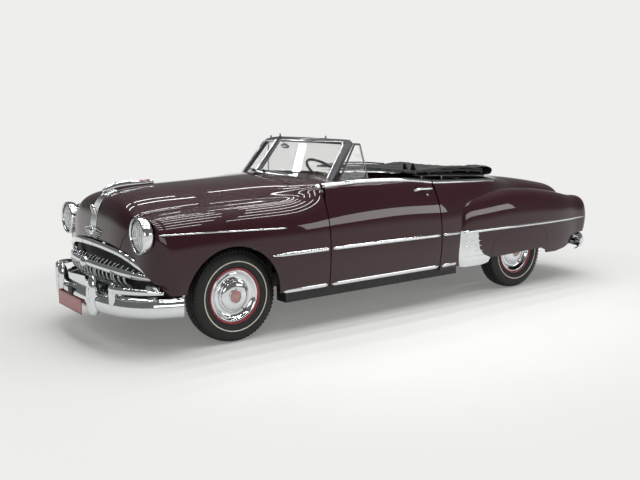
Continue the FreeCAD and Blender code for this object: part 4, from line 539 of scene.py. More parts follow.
def ringSweep(path, outs, section, scales=None, closed=False):
    # rings of a section (across, outward) carried along a path; outs: one outward direction, or one a point
    count = len(path)
    outs = [outs] * count if isinstance(outs, Vector) else outs
    size = len(section)
    verts = []
    for k, point in enumerate(path):
        if closed:
            ahead = path[(k + 1) % count] - path[k - 1]
        else:
            ahead = path[min(k + 1, count - 1)] - path[max(k - 1, 0)]
        ahead = ahead.normalized()
        out = (outs[k] - ahead * outs[k].dot(ahead)).normalized()
        side = ahead.cross(out)
        across, outward = (scales[k] if scales else (1, 1))
        verts += [point + side * (u * across) + out * (v * outward) for u, v in section]
    rounds = count if closed else count - 1
    faces = []
    for k in range(rounds):
        a = k * size
        b = ((k + 1) % count) * size
        faces += [[a + j, a + (j + 1) % size, b + (j + 1) % size, b + j] for j in range(size)]
    if not closed:
        faces += [list(range(size))[::-1], [(count - 1) * size + j for j in range(size)]]
    return verts, faces


def domeSection(width, height, sink=.001, points=9):
    # low arch in section, its feet a little inside the skin
    arch = [(cos(pi * k / (points - 1)) * width / 2, sin(pi * k / (points - 1)) * height) for k in range(points)]
    return [(width / 2, -sink)] + arch + [(-width / 2, -sink)]


def ovalSection(halfAcross, halfOut, points=14):
    return [(cos(2 * pi * k / points) * halfAcross, sin(2 * pi * k / points) * halfOut) for k in range(points)]


def tapers(count, tips, power=.5, low=.06):
    # scales that close both ends of a strip in a rounded point; tips are the share at each end
    scales = []
    for k in range(count):
        t = k / (count - 1)
        ahead = min(t / tips[0], 1) if tips[0] else 1
        behind = min((1 - t) / tips[1], 1) if tips[1] else 1
        value = max(min(sin(ahead * pi / 2), sin(behind * pi / 2)) ** power, low)
        scales.append((value, value))
    return scales


def skinTrack(skinName, points, side=1, count=40):
    # a path in side view (x ahead of the front axle, height) laid on a skin from its own side
    skin = skins[skinName]
    track, outs = [], []
    for p in smoothPath([(x, 0, z) for x, z in points], count):
        start = Vector((p.x + car["frontAxle"], side * 1.6, p.z))
        hit = skin["tree"].ray_cast(start, Vector((0, -side, 0)))
        spot, normal, out = onSkin(skin, hit[0] if hit[0] else start)
        track.append(spot)
        outs.append(normal)
    return track, outs


def turned(profile, segments=64, axis="Y"):
    # surface turned from (radius, along) pairs about an axis through the origin
    verts, faces = [], []
    size = len(profile)
    for k in range(segments):
        angle = 2 * pi * k / segments
        for radius, along in profile:
            a, b = radius * cos(angle), radius * sin(angle)
            verts.append({"Y": (a, along, b), "X": (along, a, b), "Z": (a, b, along)}[axis])
    for k in range(segments):
        a = k * size
        b = (k + 1) % segments * size
        faces += [[a + j, a + j + 1, b + j + 1, b + j] for j in range(size - 1)]
    return verts, faces


def roundedBlock(low, high, radius, steps=3):
    # box with rounded edges, as verts and faces
    net = bmesh.new()
    bmesh.ops.create_cube(net, size=1)
    for v in net.verts:
        v.co = Vector([(lo + hi) / 2 + c * (hi - lo) for lo, hi, c in zip(low, high, v.co)])
    bmesh.ops.bevel(net, geom=net.edges[:], offset=radius, segments=steps, profile=.5, affect="EDGES")
    net.verts.index_update()
    verts = [v.co.copy() for v in net.verts]
    faces = [[v.index for v in f.verts] for f in net.faces]
    net.free()
    return verts, faces


# Bright mouldings that hug the panels: paths are x ahead of the front axle and height
mouldings = {
    "stripHeight": .013, "stripDepth": .007,
    "beltWidth": .042, "beltDepth": .009, "beltLift": .0045, "guardLift": .0045, "sillZ": .347,
}
spearSection = [(-.013, -.001), (-.013, .003), (-.008, .0085), (0, .011), (.008, .0085), (.013, .003),
                (.013, -.001)]
stripSection = domeSection(mouldings["stripHeight"], mouldings["stripDepth"])
sillSection = [(-.017, -.001), (-.017, .004), (-.01, .009), (.006, .009), (.013, .004), (.013, -.001)]
beltSection = domeSection(mouldings["beltWidth"], mouldings["beltDepth"], .009, 11)


def sideStrip(name, skinName, points, section, body, tips, count=48, power=.5, lift=0):
    # one strip on each side; a fender's skin has its side at the end of its name
    for side, label in bothSides:
        onName = skinName if skinName == "body" else skinName + label
        track, outs = skinTrack(onName, points, side, count)
        track = lifted(track, outs, lift)
        riding = body if body in ("body", "hood") else body + ("_left" if side > 0 else "_right")
        form = Form().sweep(track, outs, section, tapers(count, tips, power))
        form.piece(name + label, chrome, riding, "chrome")


def beltTrack(first, last, count):
    # along the shoulder line of the cabin, from one station share to another
    rail = bodyRails[3]
    track, outs = [], []
    for k in range(count):
        share = first + (last - first) * k / (count - 1)
        guess = place(railPoint(rail, share))
        spot, normal, out = onSkin(skins["body"], guess)
        track.append(spot)
        outs.append(normal)
    return track, outs


def beltStrip(name, first, last, body, tips, count):
    for side, label in bothSides:
        track, outs = beltTrack(first, last, count)
        track = lifted(track, outs, mouldings["beltLift"])
        riding = body if body == "body" else body + ("_left" if side > 0 else "_right")
        form = Form().sweep(track, outs, beltSection, tapers(count, tips, .4))
        if side < 0:
            form.verts = [Vector((v.x, -v.y, v.z)) for v in form.verts]
        form.piece(name + label, chrome, riding, "chrome")


sideStrip("fenderSpear", "body", [(-.26, .634), (-.5, .634), (-.772, .634)], spearSection, "body", (.3, .01))
sideStrip("doorSpear", "body", [(-.806, .634), (-1.4, .63), (-1.952, .624)], spearSection, "door",
          (.01, .01), 60)
sideStrip("quarterSpear", "body", [(-1.99, .624), (-2.2, .621)], spearSection, "body", (.02, .02), 16)
sideStrip("tailSpear", "fender", [(-2.46, .618), (-3.00, .615), (-3.6, .611), (-4.00, .606)], spearSection,
          "body", (0, .22), 70)
sideStrip("guardSpear", "fender", [(-2.232, .6195), (-2.35, .619), (-2.459, .618)], spearSection, "body",
          (.04, 0), 24, .5, mouldings["guardLift"])
sideStrip("fenderStrip", "body", [(.6, .866), (.3, .858), (0, .846), (-.4, .83)], stripSection, "body",
          (.04, .08), 60)
for part, reach, body, tips, count in (("Front", (-.36, -.6, -.772), "body", (.05, .01), 20),
                                       ("Door", (-.806, -1.4, -1.952), "door", (.01, .01), 40),
                                       ("Rear", (-1.99, -2.1, -2.18), "body", (.02, .1), 12)):
    sideStrip("sillStrip" + part, "body", [(x, mouldings["sillZ"]) for x in reach], sillSection, body, tips, count)
beltStrip("beltFront", -.246, -.2575, "body", (.5, 0), 8)
beltStrip("beltDoor", -.2635, -.6435, "door", (0, 0), 60)
beltStrip("beltRear", -.6478, -.93, "body", (0, .12), 48)
print("side mouldings laid")


# Nose: five bright strips down the hood, the oval badge and the winged badge, all bare
nose = {"stripWidth": .012, "stripDepth": .006, "stripPitch": .0235, "strips": 5,
        "badgeHeight": .98, "badgeHalfWidth": .036, "badgeHalfHeight": .058, "wingHeight": .815,
        "wingReach": .185}


def noseTrack(y, points, count):
    # a path down the nose at a set distance from the middle plane
    track, outs = [], []
    for p in smoothPath([(x, 0, z) for x, z in points], count):
        guess = Vector((p.x + car["frontAxle"], y, p.z))
        spot, normal, out = onSkin(skins["body"], guess)
        track.append(Vector((spot.x, y, spot.z)))
        outs.append(normal if normal.x > 0 or normal.z > 0 else -normal)
    return track, outs


def noseStrips():
    form = Form()
    half = nose["strips"] // 2
    for number in range(-half, half + 1):
        y = number * nose["stripPitch"]
        track, outs = noseTrack(y, [(.56, 1.135), (.64, 1.105), (.7, 1.045), (.728, .98), (.742, .9),
                                    (.752, .828)], 60)
        form.sweep(track, outs, domeSection(nose["stripWidth"], nose["stripDepth"], .002, 7),
                   tapers(60, (.1, .02)))
    form.piece("noseStrips", chrome, "hood", "chrome")


def noseBadge():
    # oval bezel with a plain domed face
    spot, normal, out = onSkin(skins["body"], Vector((.735 + car["frontAxle"], 0, nose["badgeHeight"])))
    normal = Vector((abs(normal.x), 0, normal.z)).normalized()
    up = Vector((-normal.z, 0, normal.x))
    across = leftwards
    rings = ((1.0, .004), (1.0, .012), (.93, .017), (.84, .016), (.8, .011))
    face = ((.8, .011), (.6, .016), (.35, .0195), (.12, .021))
    for name, profile, material, slot in (("noseBadgeBezel", rings, chrome, "chrome"),
                                          ("noseBadgeFace", face, roseEnamel, "chrome")):
        form = Form()
        count = 40
        verts, faces = [], []
        for share, lift in profile:
            for k in range(count):
                angle = 2 * pi * k / count
                verts.append(spot + across * (cos(angle) * nose["badgeHalfWidth"] * share)
                             + up * (sin(angle) * nose["badgeHalfHeight"] * share) + normal * lift)
        for ring in range(len(profile) - 1):
            a, b = ring * count, (ring + 1) * count
            faces += [[a + k, a + (k + 1) % count, b + (k + 1) % count, b + k] for k in range(count)]
        last = (len(profile) - 1) * count
        if name.endswith("Face"):
            faces.append([last + k for k in range(count)])
        form.add(verts, faces).piece(name, material, "hood", slot)


def wingBadge():
    # spread wings over the grille: five feather bars on each side of a boss, no figure
    form = Form()
    x = .748 + car["frontAxle"]
    for side in (1, -1):
        for feather in range(5):
            z = nose["wingHeight"] + .03 - feather * .014
            reach = nose["wingReach"] * (1 - .13 * feather)
            points = []
            outs = []
            for k in range(18):
                t = k / 17
                y = side * (.012 + reach * t)
                guess = Vector((x, y, z + .022 * (1 - t) * (feather == 0) - .012 * t))
                spot, normal, out = onSkin(skins["body"], guess)
                normal = normal if normal.x > 0 else -normal
                points.append(spot + normal * .004)
                outs.append(normal)
            form.sweep(points, outs, ovalSection(.0062, .008, 10), tapers(18, (.02, .5)))
    boss, faces = turned([(.0, .026), (.01, .025), (.019, .018), (.023, .006), (.023, -.01)], 28, "X")
    spot, normal, out = onSkin(skins["body"], Vector((x, 0, nose["wingHeight"] + .008)))
    form.add([Vector((spot.x + v[0], v[1], spot.z + v[2] * 1.5)) for v in boss], faces)
    form.piece("wingBadge", chrome, "hood", "chrome", sharp=60)


noseStrips()
noseBadge()
wingBadge()
print("nose trimmed")

# Wheels: every profile is (radius, distance outwards from the wheel's middle plane)
wheel = {
    "segments": 96, "treadPitches": 66, "treadRows": 5, "treadRowPitch": .0235, "blockLength": .026,
    "blockWidth": .0195, "blockDepth": .009, "treadRadius": .3495, "crownDrop": .00135,
    "creamRing": (.2555, .2645), "valveRadius": .15, "valveAngle": -52,
    "lugHalf": .011, "lugOut": (.0635, .0765), "lugRadius": (.326, .339), "lugRounding": .003,
}
carcassHalf = (
    (.199, .0555), (.205, .064), (.214, .0735), (.224, .0795), (.238, .087), (.256, .0925), (.274, .0938),
    (.292, .0915), (.308, .0865), (.322, .079), (.331, .0715), (.3365, .064), (.3385, .055), (.341, .03))
carcassProfile = ([(radius, -out) for radius, out in carcassHalf] + [(.342, 0)] + list(carcassHalf[::-1])
                  + [(.197, .04), (.197, -.04), (.199, -.0555)])
rimProfile = (
    (.1972, .06), (.2035, .066), (.2105, .069), (.212, .0725), (.2095, .0758), (.2035, .0762), (.1985, .074),
    (.195, .068), (.1915, .056), (.187, .045), (.178, .03), (.172, .0), (.174, -.03), (.183, -.046),
    (.1945, -.055), (.2035, -.0665), (.2105, -.069), (.212, -.0725), (.2095, -.0758), (.2015, -.074),
    (.1965, -.06), (.195, -.04), (.186, -.028), (.184, 0), (.188, .03), (.195, .042), (.1972, .06))
discProfile = (
    (.183, .012), (.15, .02), (.12, .026), (.09, .018), (.07, .02), (.0145, .02), (.0145, .014),
    (.07, .014), (.09, .012), (.12, .019), (.15, .013), (.183, .004), (.183, .012))
coverProfile = (
    (.1935, .06), (.194, .0665), (.1905, .069), (.185, .068), (.178, .062), (.169, .052), (.158, .043),
    (.146, .0385), (.136, .0385), (.129, .0425), (.125, .049), (.1225, .056), (.1185, .059), (.113, .059),
    (.1105, .061), (.1085, .066), (.104, .069), (.09, .0745), (.074, .0785), (.06, .08), (.0555, .0805),
    (.054, .084), (.051, .0862), (.0475, .0855), (.046, .083))
capProfile = ((.046, .0828), (.04, .0848), (.028, .0868), (.012, .088), (.0, .0882))


def treadTree():
    # blocks in rows round a circle, every other row half a pitch on, as one nodes group
    tree = bpy.data.node_groups.new("treadBlocks", "GeometryNodeTree")
    tree.interface.new_socket("Geometry", in_out="OUTPUT", socket_type="NodeSocketGeometry")
    wanted = (("Pitches", "NodeSocketInt"), ("Rows", "NodeSocketInt"), ("Radius", "NodeSocketFloat"),
              ("Row Pitch", "NodeSocketFloat"), ("Crown Drop", "NodeSocketFloat"), ("Block", "NodeSocketVector"),
              ("Material", "NodeSocketMaterial"))
    for socketName, kind in wanted:
        tree.interface.new_socket(socketName, in_out="INPUT", socket_type=kind)
    given = tree.nodes.new("NodeGroupInput").outputs

    def maths(operation, first, second=None):
        node = tree.nodes.new("ShaderNodeMath")
        node.operation = operation
        for slotNumber, value in enumerate((first, second)):
            if value is None:
                continue
            if isinstance(value, (int, float)):
                node.inputs[slotNumber].default_value = value
            else:
                tree.links.new(value, node.inputs[slotNumber])
        return node.outputs[0]

    index = tree.nodes.new("GeometryNodeInputIndex").outputs[0]
    row = maths("FLOORED_MODULO", index, given["Rows"])
    step = maths("FLOOR", maths("DIVIDE", index, given["Rows"]))
    shift = maths("MULTIPLY", maths("FLOORED_MODULO", row, 2), .5)
    angle = maths("MULTIPLY", maths("DIVIDE", maths("ADD", step, shift), given["Pitches"]), 2 * pi)
    middle = maths("DIVIDE", maths("SUBTRACT", given["Rows"], 1), 2)
    offset = maths("SUBTRACT", row, middle)
    radius = maths("SUBTRACT", given["Radius"],
                   maths("MULTIPLY", maths("MULTIPLY", offset, offset), given["Crown Drop"]))
    spot = addNode(tree, "ShaderNodeCombineXYZ", None, {
        "X": maths("MULTIPLY", radius, maths("SINE", angle)),
        "Y": maths("MULTIPLY", offset, given["Row Pitch"]),
        "Z": maths("MULTIPLY", radius, maths("COSINE", angle))})
    turn = addNode(tree, "ShaderNodeCombineXYZ", None, {"Y": angle})
    line = addNode(tree, "GeometryNodeMeshLine", None,
                   {"Count": maths("MULTIPLY", given["Pitches"], given["Rows"])})
    points = addNode(tree, "GeometryNodeSetPosition", None,
                     {"Geometry": line.outputs[0], "Position": spot.outputs[0]})
    block = addNode(tree, "GeometryNodeMeshCube", None, {"Size": given["Block"]})
    copies = addNode(tree, "GeometryNodeInstanceOnPoints", None, {
        "Points": points.outputs[0], "Instance": block.outputs[0], "Rotation": turn.outputs[0]})
    solid = addNode(tree, "GeometryNodeRealizeInstances", None, {"Geometry": copies.outputs[0]})
    painted = addNode(tree, "GeometryNodeSetMaterial", None, {"Geometry": solid.outputs[0],
                                                              "Material": given["Material"]})
    addNode(tree, "NodeGroupOutput", None, {"Geometry": painted.outputs[0]})
    return tree


def runTree(tree, values, name):
    # evaluate a nodes group with named values and hand back a plain mesh
    holder = bpy.data.objects.new(name + "Maker", bpy.data.meshes.new(name + "Seed"))
    link(holder)
    modifier = holder.modifiers.new("maker", "NODES")
    modifier.node_group = tree
    for item in tree.interface.items_tree:
        if item.in_out == "INPUT" and item.name in values:
            modifier[item.identifier] = values[item.name]
    seen = bpy.context.evaluated_depsgraph_get()
    mesh = bpy.data.meshes.new_from_object(holder.evaluated_get(seen), depsgraph=seen)
    holder.modifiers.remove(modifier)
    bpy.data.objects.remove(holder)
    mesh.name = name
    return mesh


def treadMesh():
    return runTree(treadTree(), {
        "Pitches": wheel["treadPitches"], "Rows": wheel["treadRows"],
        "Radius": wheel["treadRadius"] - wheel["blockDepth"] / 2, "Row Pitch": wheel["treadRowPitch"],
        "Crown Drop": wheel["crownDrop"],
        "Block": (wheel["blockLength"], wheel["blockWidth"], wheel["blockDepth"]),
        "Material": tyreRubber}, "tread")


def shoulderLugs():
    # short ribs round both shoulders of the tyre
    form = Form()
    for number in range(wheel["treadPitches"]):
        angle = 2 * pi * (number + .25) / wheel["treadPitches"]
        turn = Matrix.Rotation(angle, 3, "Y")
        for side in (1, -1):
            near, far = sorted(side * out for out in wheel["lugOut"])
            low = (-wheel["lugHalf"], near, wheel["lugRadius"][0])
            high = (wheel["lugHalf"], far, wheel["lugRadius"][1])
            verts, faces = roundedBlock(low, high, wheel["lugRounding"], 1)
            form.add([turn @ v for v in verts], faces)
    return form


def wheelSet(label, body, centre, side):
    # all parts of one wheel, turned about its own hub line and set outwards on its side
    place3 = Matrix.Translation(centre) @ Matrix.Scale(side, 4, (0, 1, 0))
    title = "".join(word.capitalize() for word in label.split("_"))
    count = wheel["segments"]
    Form().lathe(carcassProfile, count).moved(place3).piece(
        "tyre" + title, tyreRubber, body, "tyre_rubber", ["tyre_" + label], 60)
    tread = treadBase.copy()
    tread.transform(Matrix.Translation(centre))
    finishPiece(newObject("tread" + title, tread, None), body)
    lugs = Form().add(lugBase.verts, lugBase.faces).moved(place3)
    lugs.piece("shoulderLugs" + title, tyreRubber, body, "tyre_rubber")
    low, high = wheel["creamRing"]
    cream = ((low, .0918), (low + .0012, .0932), (high - .0012, .0944), (high, .0932))
    for name, profile, material, slot, stands, sharp in (
            ("creamLine", cream, whiteRubber, "tyre_rubber", (), 38),
            ("rim", rimProfile, redEnamel, "chrome", ["wheel_" + label], 30),
            ("disc", discProfile, redEnamel, "chrome", (), 30),
            ("cover", coverProfile, chrome, "chrome", (), 50),
            ("cap", capProfile, roseEnamel, "chrome", (), 38)):
        Form().lathe(profile, count).moved(place3).piece(name + title, material, body, slot, stands, sharp)
    angle = radians(wheel["valveAngle"])
    stem, faces = turned([(0, .056), (.0042, .055), (.005, .05), (.005, .036)], 16)
    radius = wheel["valveRadius"]
    stem = [(v[0] + radius * cos(angle) * -side, v[1], v[2] + radius * sin(angle)) for v in stem]
    Form().add(stem, faces).moved(place3).piece("valve" + title, rubberSeal, body, "chrome")


treadBase = treadMesh()
lugBase = shoulderLugs()
for end, axleX, track in (("front", car["frontAxle"], car["frontTrack"]),
                          ("rear", car["frontAxle"] - car["wheelbase"], car["rearTrack"])):
    for side, word in ((1, "left"), (-1, "right")):
        label = end + "_" + word
        wheelSet(label, "wheel_" + label, Vector((axleX, side * track / 2, car["tyreRadius"])), side)
print("wheels built")


# Front end: grille, lamps, bumper trim, blank plate
front = {
    "topBar": [(.258, 0, .748), (.256, .2, .743), (.25, .38, .729), (.241, .52, .705), (.23, .65, .66),
               (.217, .74, .61), (.212, .785, .57)],
    "middleBar": [(.27, 0, .6), (.267, .2, .597), (.257, .42, .588), (.241, .6, .575), (.223, .74, .563),
                  (.197, .862, .55)],
    "topHalfHeight": .025, "topHalfDepth": .017, "middleHalfHeight": .027, "middleHalfDepth": .022,
    "teeth": 13, "toothPitch": .052, "toothHalf": .0034, "toothReach": .4,
    "lampCentre": (.23, .766, .858), "lensRadius": .1115, "lensBulge": .03,
    "parking": (.213, .78, .475), "plateSize": (.52, .115), "plateLean": 1.5, "plateMiddle": (.9455, -.06, .298),
    "guardY": .34, "guardFace": .946, "ribSpread": .02, "ribHalf": (.004, .0045),
    "jointHalf": .0016, "joints": (.095, .115, .6), "upperTooth": .009, "lowerTooth": .011, "lowerSpan": .6,
    "leastOpening": .045, "lampHousing": (.055, .03), "lampFace": (.047, .022),
}


def barSweep(shares, halfHeight, halfDepth, tips, count=61):
    # a bar across the whole front, laid through its half line and that line's mirror image
    half = [place(p) for p in shares]
    whole = [Vector((p.x, -p.y, p.z)) for p in reversed(half[1:])] + half
    path = smoothPath(whole, count)
    outs = []
    for k in range(count):
        ahead = path[min(k + 1, count - 1)] - path[max(k - 1, 0)]
        outs.append(Vector((ahead.y, -ahead.x, 0)).normalized())
    section = ovalSection(halfHeight, halfDepth, 20)
    scales = tapers(count, tips, .6, .1)
    return path, ringSweep(path, outs, section, scales)


def makeGrille():
    form = Form()
    topPath, topBar = barSweep(front["topBar"], front["topHalfHeight"], front["topHalfDepth"], (.03, .03))
    middlePath, middleBar = barSweep(front["middleBar"], front["middleHalfHeight"], front["middleHalfDepth"],
                                     (.14, .14))
    form.add(*topBar).add(*middleBar)
    boss = turned([(0, .052), (.024, .05), (.042, .04), (.051, .022), (.053, .0), (.046, -.02)], 32, "X")
    hub = place(front["middleBar"][0])
    form.add([Vector((hub.x - .008 + v[0], v[1], hub.z + v[2] * .86)) for v in boss[0]], boss[1])
    form.piece("grilleBars", chrome, "body", "chrome", ["grille"], 60)
    teeth = Form()
    for side in (-1, 1):
        for number in range(front["teeth"]):
            y = side * (number + .55) * front["toothPitch"]
            above = min(topPath, key=lambda p: abs(p.y - y))
            below = min(middlePath, key=lambda p: abs(p.y - y))
            if above.z - below.z > front["leastOpening"]:
                sway = (above - below).length * .16
                tip = below.lerp(above, front["toothReach"]) + Vector((-.022, side * .034, 0))
                points = [below + Vector((-.01, 0, .0)),
                          (tip + below) / 2 + Vector((sway * .4, side * .006, 0)), tip]
                path = smoothPath(points, 12)
                teeth.sweep(path, forwards, ovalSection(front["toothHalf"], front["upperTooth"], 12),
                            tapers(12, (0, .25), .5, .3))
            foot = below + Vector((-.055, side * .006, -.135 + .03 * abs(y)))
            if abs(y) < front["lowerSpan"]:
                path = smoothPath([below + Vector((-.004, 0, -.01)), (below + foot) / 2 + Vector((.022, 0, 0)),
                                   foot], 12)
                teeth.sweep(path, forwards, ovalSection(front["toothHalf"] * 1.5, front["lowerTooth"], 12))
    teeth.piece("grilleTeeth", dullChrome)
    joints = Form()
    for y in sorted([-y for y in front["joints"]]) + list(front["joints"]):
        k = min(range(len(topPath)), key=lambda n: abs(topPath[n].y - y))
        ahead = (topPath[k + 1] - topPath[k - 1]).normalized()
        out = Vector((ahead.y, -ahead.x, 0)).normalized()
        path = [topPath[k] - ahead * front["jointHalf"], topPath[k] + ahead * front["jointHalf"]]
        joints.sweep(path, out, ovalSection(front["topHalfHeight"] + .0005,
                                            front["topHalfDepth"] + .0005, 24))
    joints.piece("barJoints", rubberSeal)
    return topPath, middlePath


def makeBaffle(topPath, middlePath):
    # dark air guide behind the teeth, from under the upper bar down to the bumper
    form = Form()
    rows = []
    columns = [p for p in topPath if abs(p.y) < .7]
    for lift, back in ((-.004, .05), (-.06, .085), (-.16, .1), (-.25, .1), (-.345, .06)):
        rows.append([Vector((p.x - back, p.y * .97, p.z + lift * (1 - .25 * abs(p.y)))) for p in columns])
    verts = [v for row in rows for v in row]
    faces = gridFaces(len(rows), len(columns))
    back = [v + Vector((-.003, 0, 0)) for v in verts]
    size = len(verts)
    faces += [[size + k for k in face[::-1]] for face in list(faces)]
    form.add(verts + back, faces).piece("airGuide", chassisBlack, "body", "frame_black")


def makeHeadlamps():
    centre = place(front["lampCentre"])
    rim = ((.1155, .001), (.1175, .01), (.1215, .0135), (.1265, .0125), (.1308, .006), (.1335, -.006),
           (.134, -.022), (.131, -.04), (.126, -.056), (.1215, -.06))
    inner = ((.1155, .001), (.1145, -.003), (.114, -.01))
    dish = ((.114, -.008), (.104, -.024), (.086, -.048), (.064, -.07), (.04, -.083), (.018, -.09),
            (0, -.092))
    bulb = ((0, -.022), (.01, -.024), (.014, -.032), (.014, -.06), (.01, -.085))
    radius, bulge = front["lensRadius"] + .003, front["lensBulge"]
    ball = (radius * radius + bulge * bulge) / (2 * bulge)
    dome = []
    for k in range(15):
        angle = asin(radius / ball) * (1 - k / 14)
        dome.append((ball * sin(angle), ball * cos(angle) - ball + bulge - .006))
    back = [(r, along - .004) for r, along in reversed(dome)]
    for side, label in bothSides:
        spot = Matrix.Translation((centre.x, side * centre.y, centre.z))
        for name, profile, material, slot, stands in (
                ("lampRim", rim, chrome, "chrome", ["headlamps"]),
                ("lampSeal", inner, rubberSeal, "chrome", ()), ("lampDish", dish, lampSilver, "chrome", ()),
                ("lampBulb", bulb, lampGlass, "lamp_glass", ())):
            Form().lathe(profile, 72, "X").moved(spot).piece(name + label, material, "body", slot,
                                                                    stands if side > 0 else (), 50)
        Form().lathe(dome + back + dome[:1], 72, "X").moved(spot).piece(
            "lampLens" + label, flutedGlass, "body", "lamp_glass", ["headlamp_lenses"] if side > 0 else (), 50)


def makeParkingLamps():
    centre = place(front["parking"])
    for side, label in bothSides:
        middle = Vector((centre.x, side * centre.y, centre.z))
        wide, high = front["lampHousing"]
        body = roundedBlock(middle - Vector((.058, wide, high)), middle + Vector((-.006, wide, high)), .006)
        frameForm = Form().add(*body)
        wide, high = front["lampFace"]
        lens = roundedBlock(middle - Vector((.008, wide, high)), middle + Vector((.004, wide, high)), .004)
        frameForm.piece("parkingFrame" + label, chrome, "body", "chrome", ["parking_lamps"] if side > 0 else ())
        Form().add(*lens).piece("parkingLens" + label, flutedGlass, "body", "lamp_glass")


def makePlate():
    # blank plate with a pressed border, tilted on a dark bracket between the guards
    wide, high = front["plateSize"]
    lean = radians(front["plateLean"])
    middle = Vector(front["plateMiddle"]) + Vector((car["frontAxle"], 0, 0))
    turn = Matrix.Translation(middle) @ Matrix.Rotation(-lean, 4, "Y")
    sheet = roundedBlock((-.0012, -wide / 2, -high / 2), (.0012, wide / 2, high / 2), .001, 1)
    Form().add(*sheet).moved(turn).piece("frontPlate", plateEnamel)
    border = Form()
    corners = [(-wide / 2 + .006, -high / 2 + .006), (wide / 2 - .006, -high / 2 + .006),
               (wide / 2 - .006, high / 2 - .006), (-wide / 2 + .006, high / 2 - .006)]
    path = [Vector((.0014, y, z)) for y, z in corners]
    border.sweep(path, forwards, ovalSection(.0016, .0012, 8), None, True)
    border.moved(turn).piece("plateBorder", rubberSeal)
    bracket = Form()
    bracket.block((-.012, -.045, -.02), (-.002, .045, .12), .003)
    bracket.block((-.03, -.012, -.02), (-.004, .012, .075), .004)
    bracket.moved(turn).piece("plateBracket", chassisBlack, "body", "frame_black")


def makeGuardRibs():
    # two raised ribs down the face of each upright guard
    form = Form()
    for side in (1, -1):
        for shift in (-front["ribSpread"], front["ribSpread"]):
            x = car["frontAxle"] + front["guardFace"]
            path = smoothPath([(x - .02, side * front["guardY"] + shift * .5, .285),
                               (x - .0035, side * front["guardY"] + shift, .34),
                               (x - .0035, side * front["guardY"] + shift, .43),
                               (x - .012, side * front["guardY"] + shift * .85, .49)], 20)
            form.sweep(path, forwards, ovalSection(*front["ribHalf"], 10), tapers(20, (.2, .2)))
    form.piece("guardRibs", chrome)


topPath, middlePath = makeGrille()
makeBaffle(topPath, middlePath)
makeHeadlamps()
makeParkingLamps()
makePlate()
makeGuardRibs()
print("front end built")


# Windshield, vent windows, seats, wheel, dash and the inside of the cabin
cabin = {
    "headerWidth": .036, "headerDepth": .034, "pillarWidth": .054, "pillarDepth": .034, "innerFrame": .0065,
    "pegs": (-.43, 0, .43), "pegSink": .015, "divider": (.02, .03), "base": (.026, .032),
    "gasket": (.0075, .012), "frameProud": .0195, "ribDepth": .0016, "ribs": 3.5,
    "wiperReach": (.1, .62), "arm": (.0045, .003), "blade": (.0045, .006), "mirror": (.07, .022),
    "mirrorHang": (-.045, 0, -.062),
    "ventFrame": (.013, .014), "ventTop": (.015, .015), "ventPost": (.01, .013),
    "pleatWidth": .0085, "piping": .0042, "spoke": (.02, .01), "horn": (.0045, .0035),
    "handle": (.0105, .0065), "handleLift": .03, "lockRadius": .011, "innerY": .75,
    "voxel": .012, "pressure": 4.0, "swell": .026, "shrink": .01, "pleatPitch": .062, "pleatDepth": .0055,
    "wheelRadius": .205, "rimRadius": .0115, "ringRadius": .135,
}


def glassCorners():
    baseMiddle, baseCorner = place((-.233, 0, 1.19)), place((-.312, .729, 1.105))
    topMiddle, topCorner = place((-.312, 0, 1.468)), place((0, .672, 1.436))
    normal = (baseCorner - baseMiddle).cross(topMiddle - baseMiddle).normalized()
    normal = normal if normal.x > 0 else -normal
    rise = normal.y * (topCorner.y - baseMiddle.y) + normal.z * (topCorner.z - baseMiddle.z)
    topCorner.x = baseMiddle.x - rise / normal.x
    return baseMiddle, baseCorner, topCorner, topMiddle, normal


def boxedSection(across, outward, power=.28, points=20):
    section = []
    for k in range(points):
        c, s = cos(2 * pi * k / points), sin(2 * pi * k / points)
        section.append((abs(c) ** power * (1 if c > 0 else -1) * across / 2,
                        abs(s) ** power * (1 if s > 0 else -1) * outward / 2))
    return section


def flipped(points):
    return [Vector((p.x, -p.y, p.z)) for p in points]


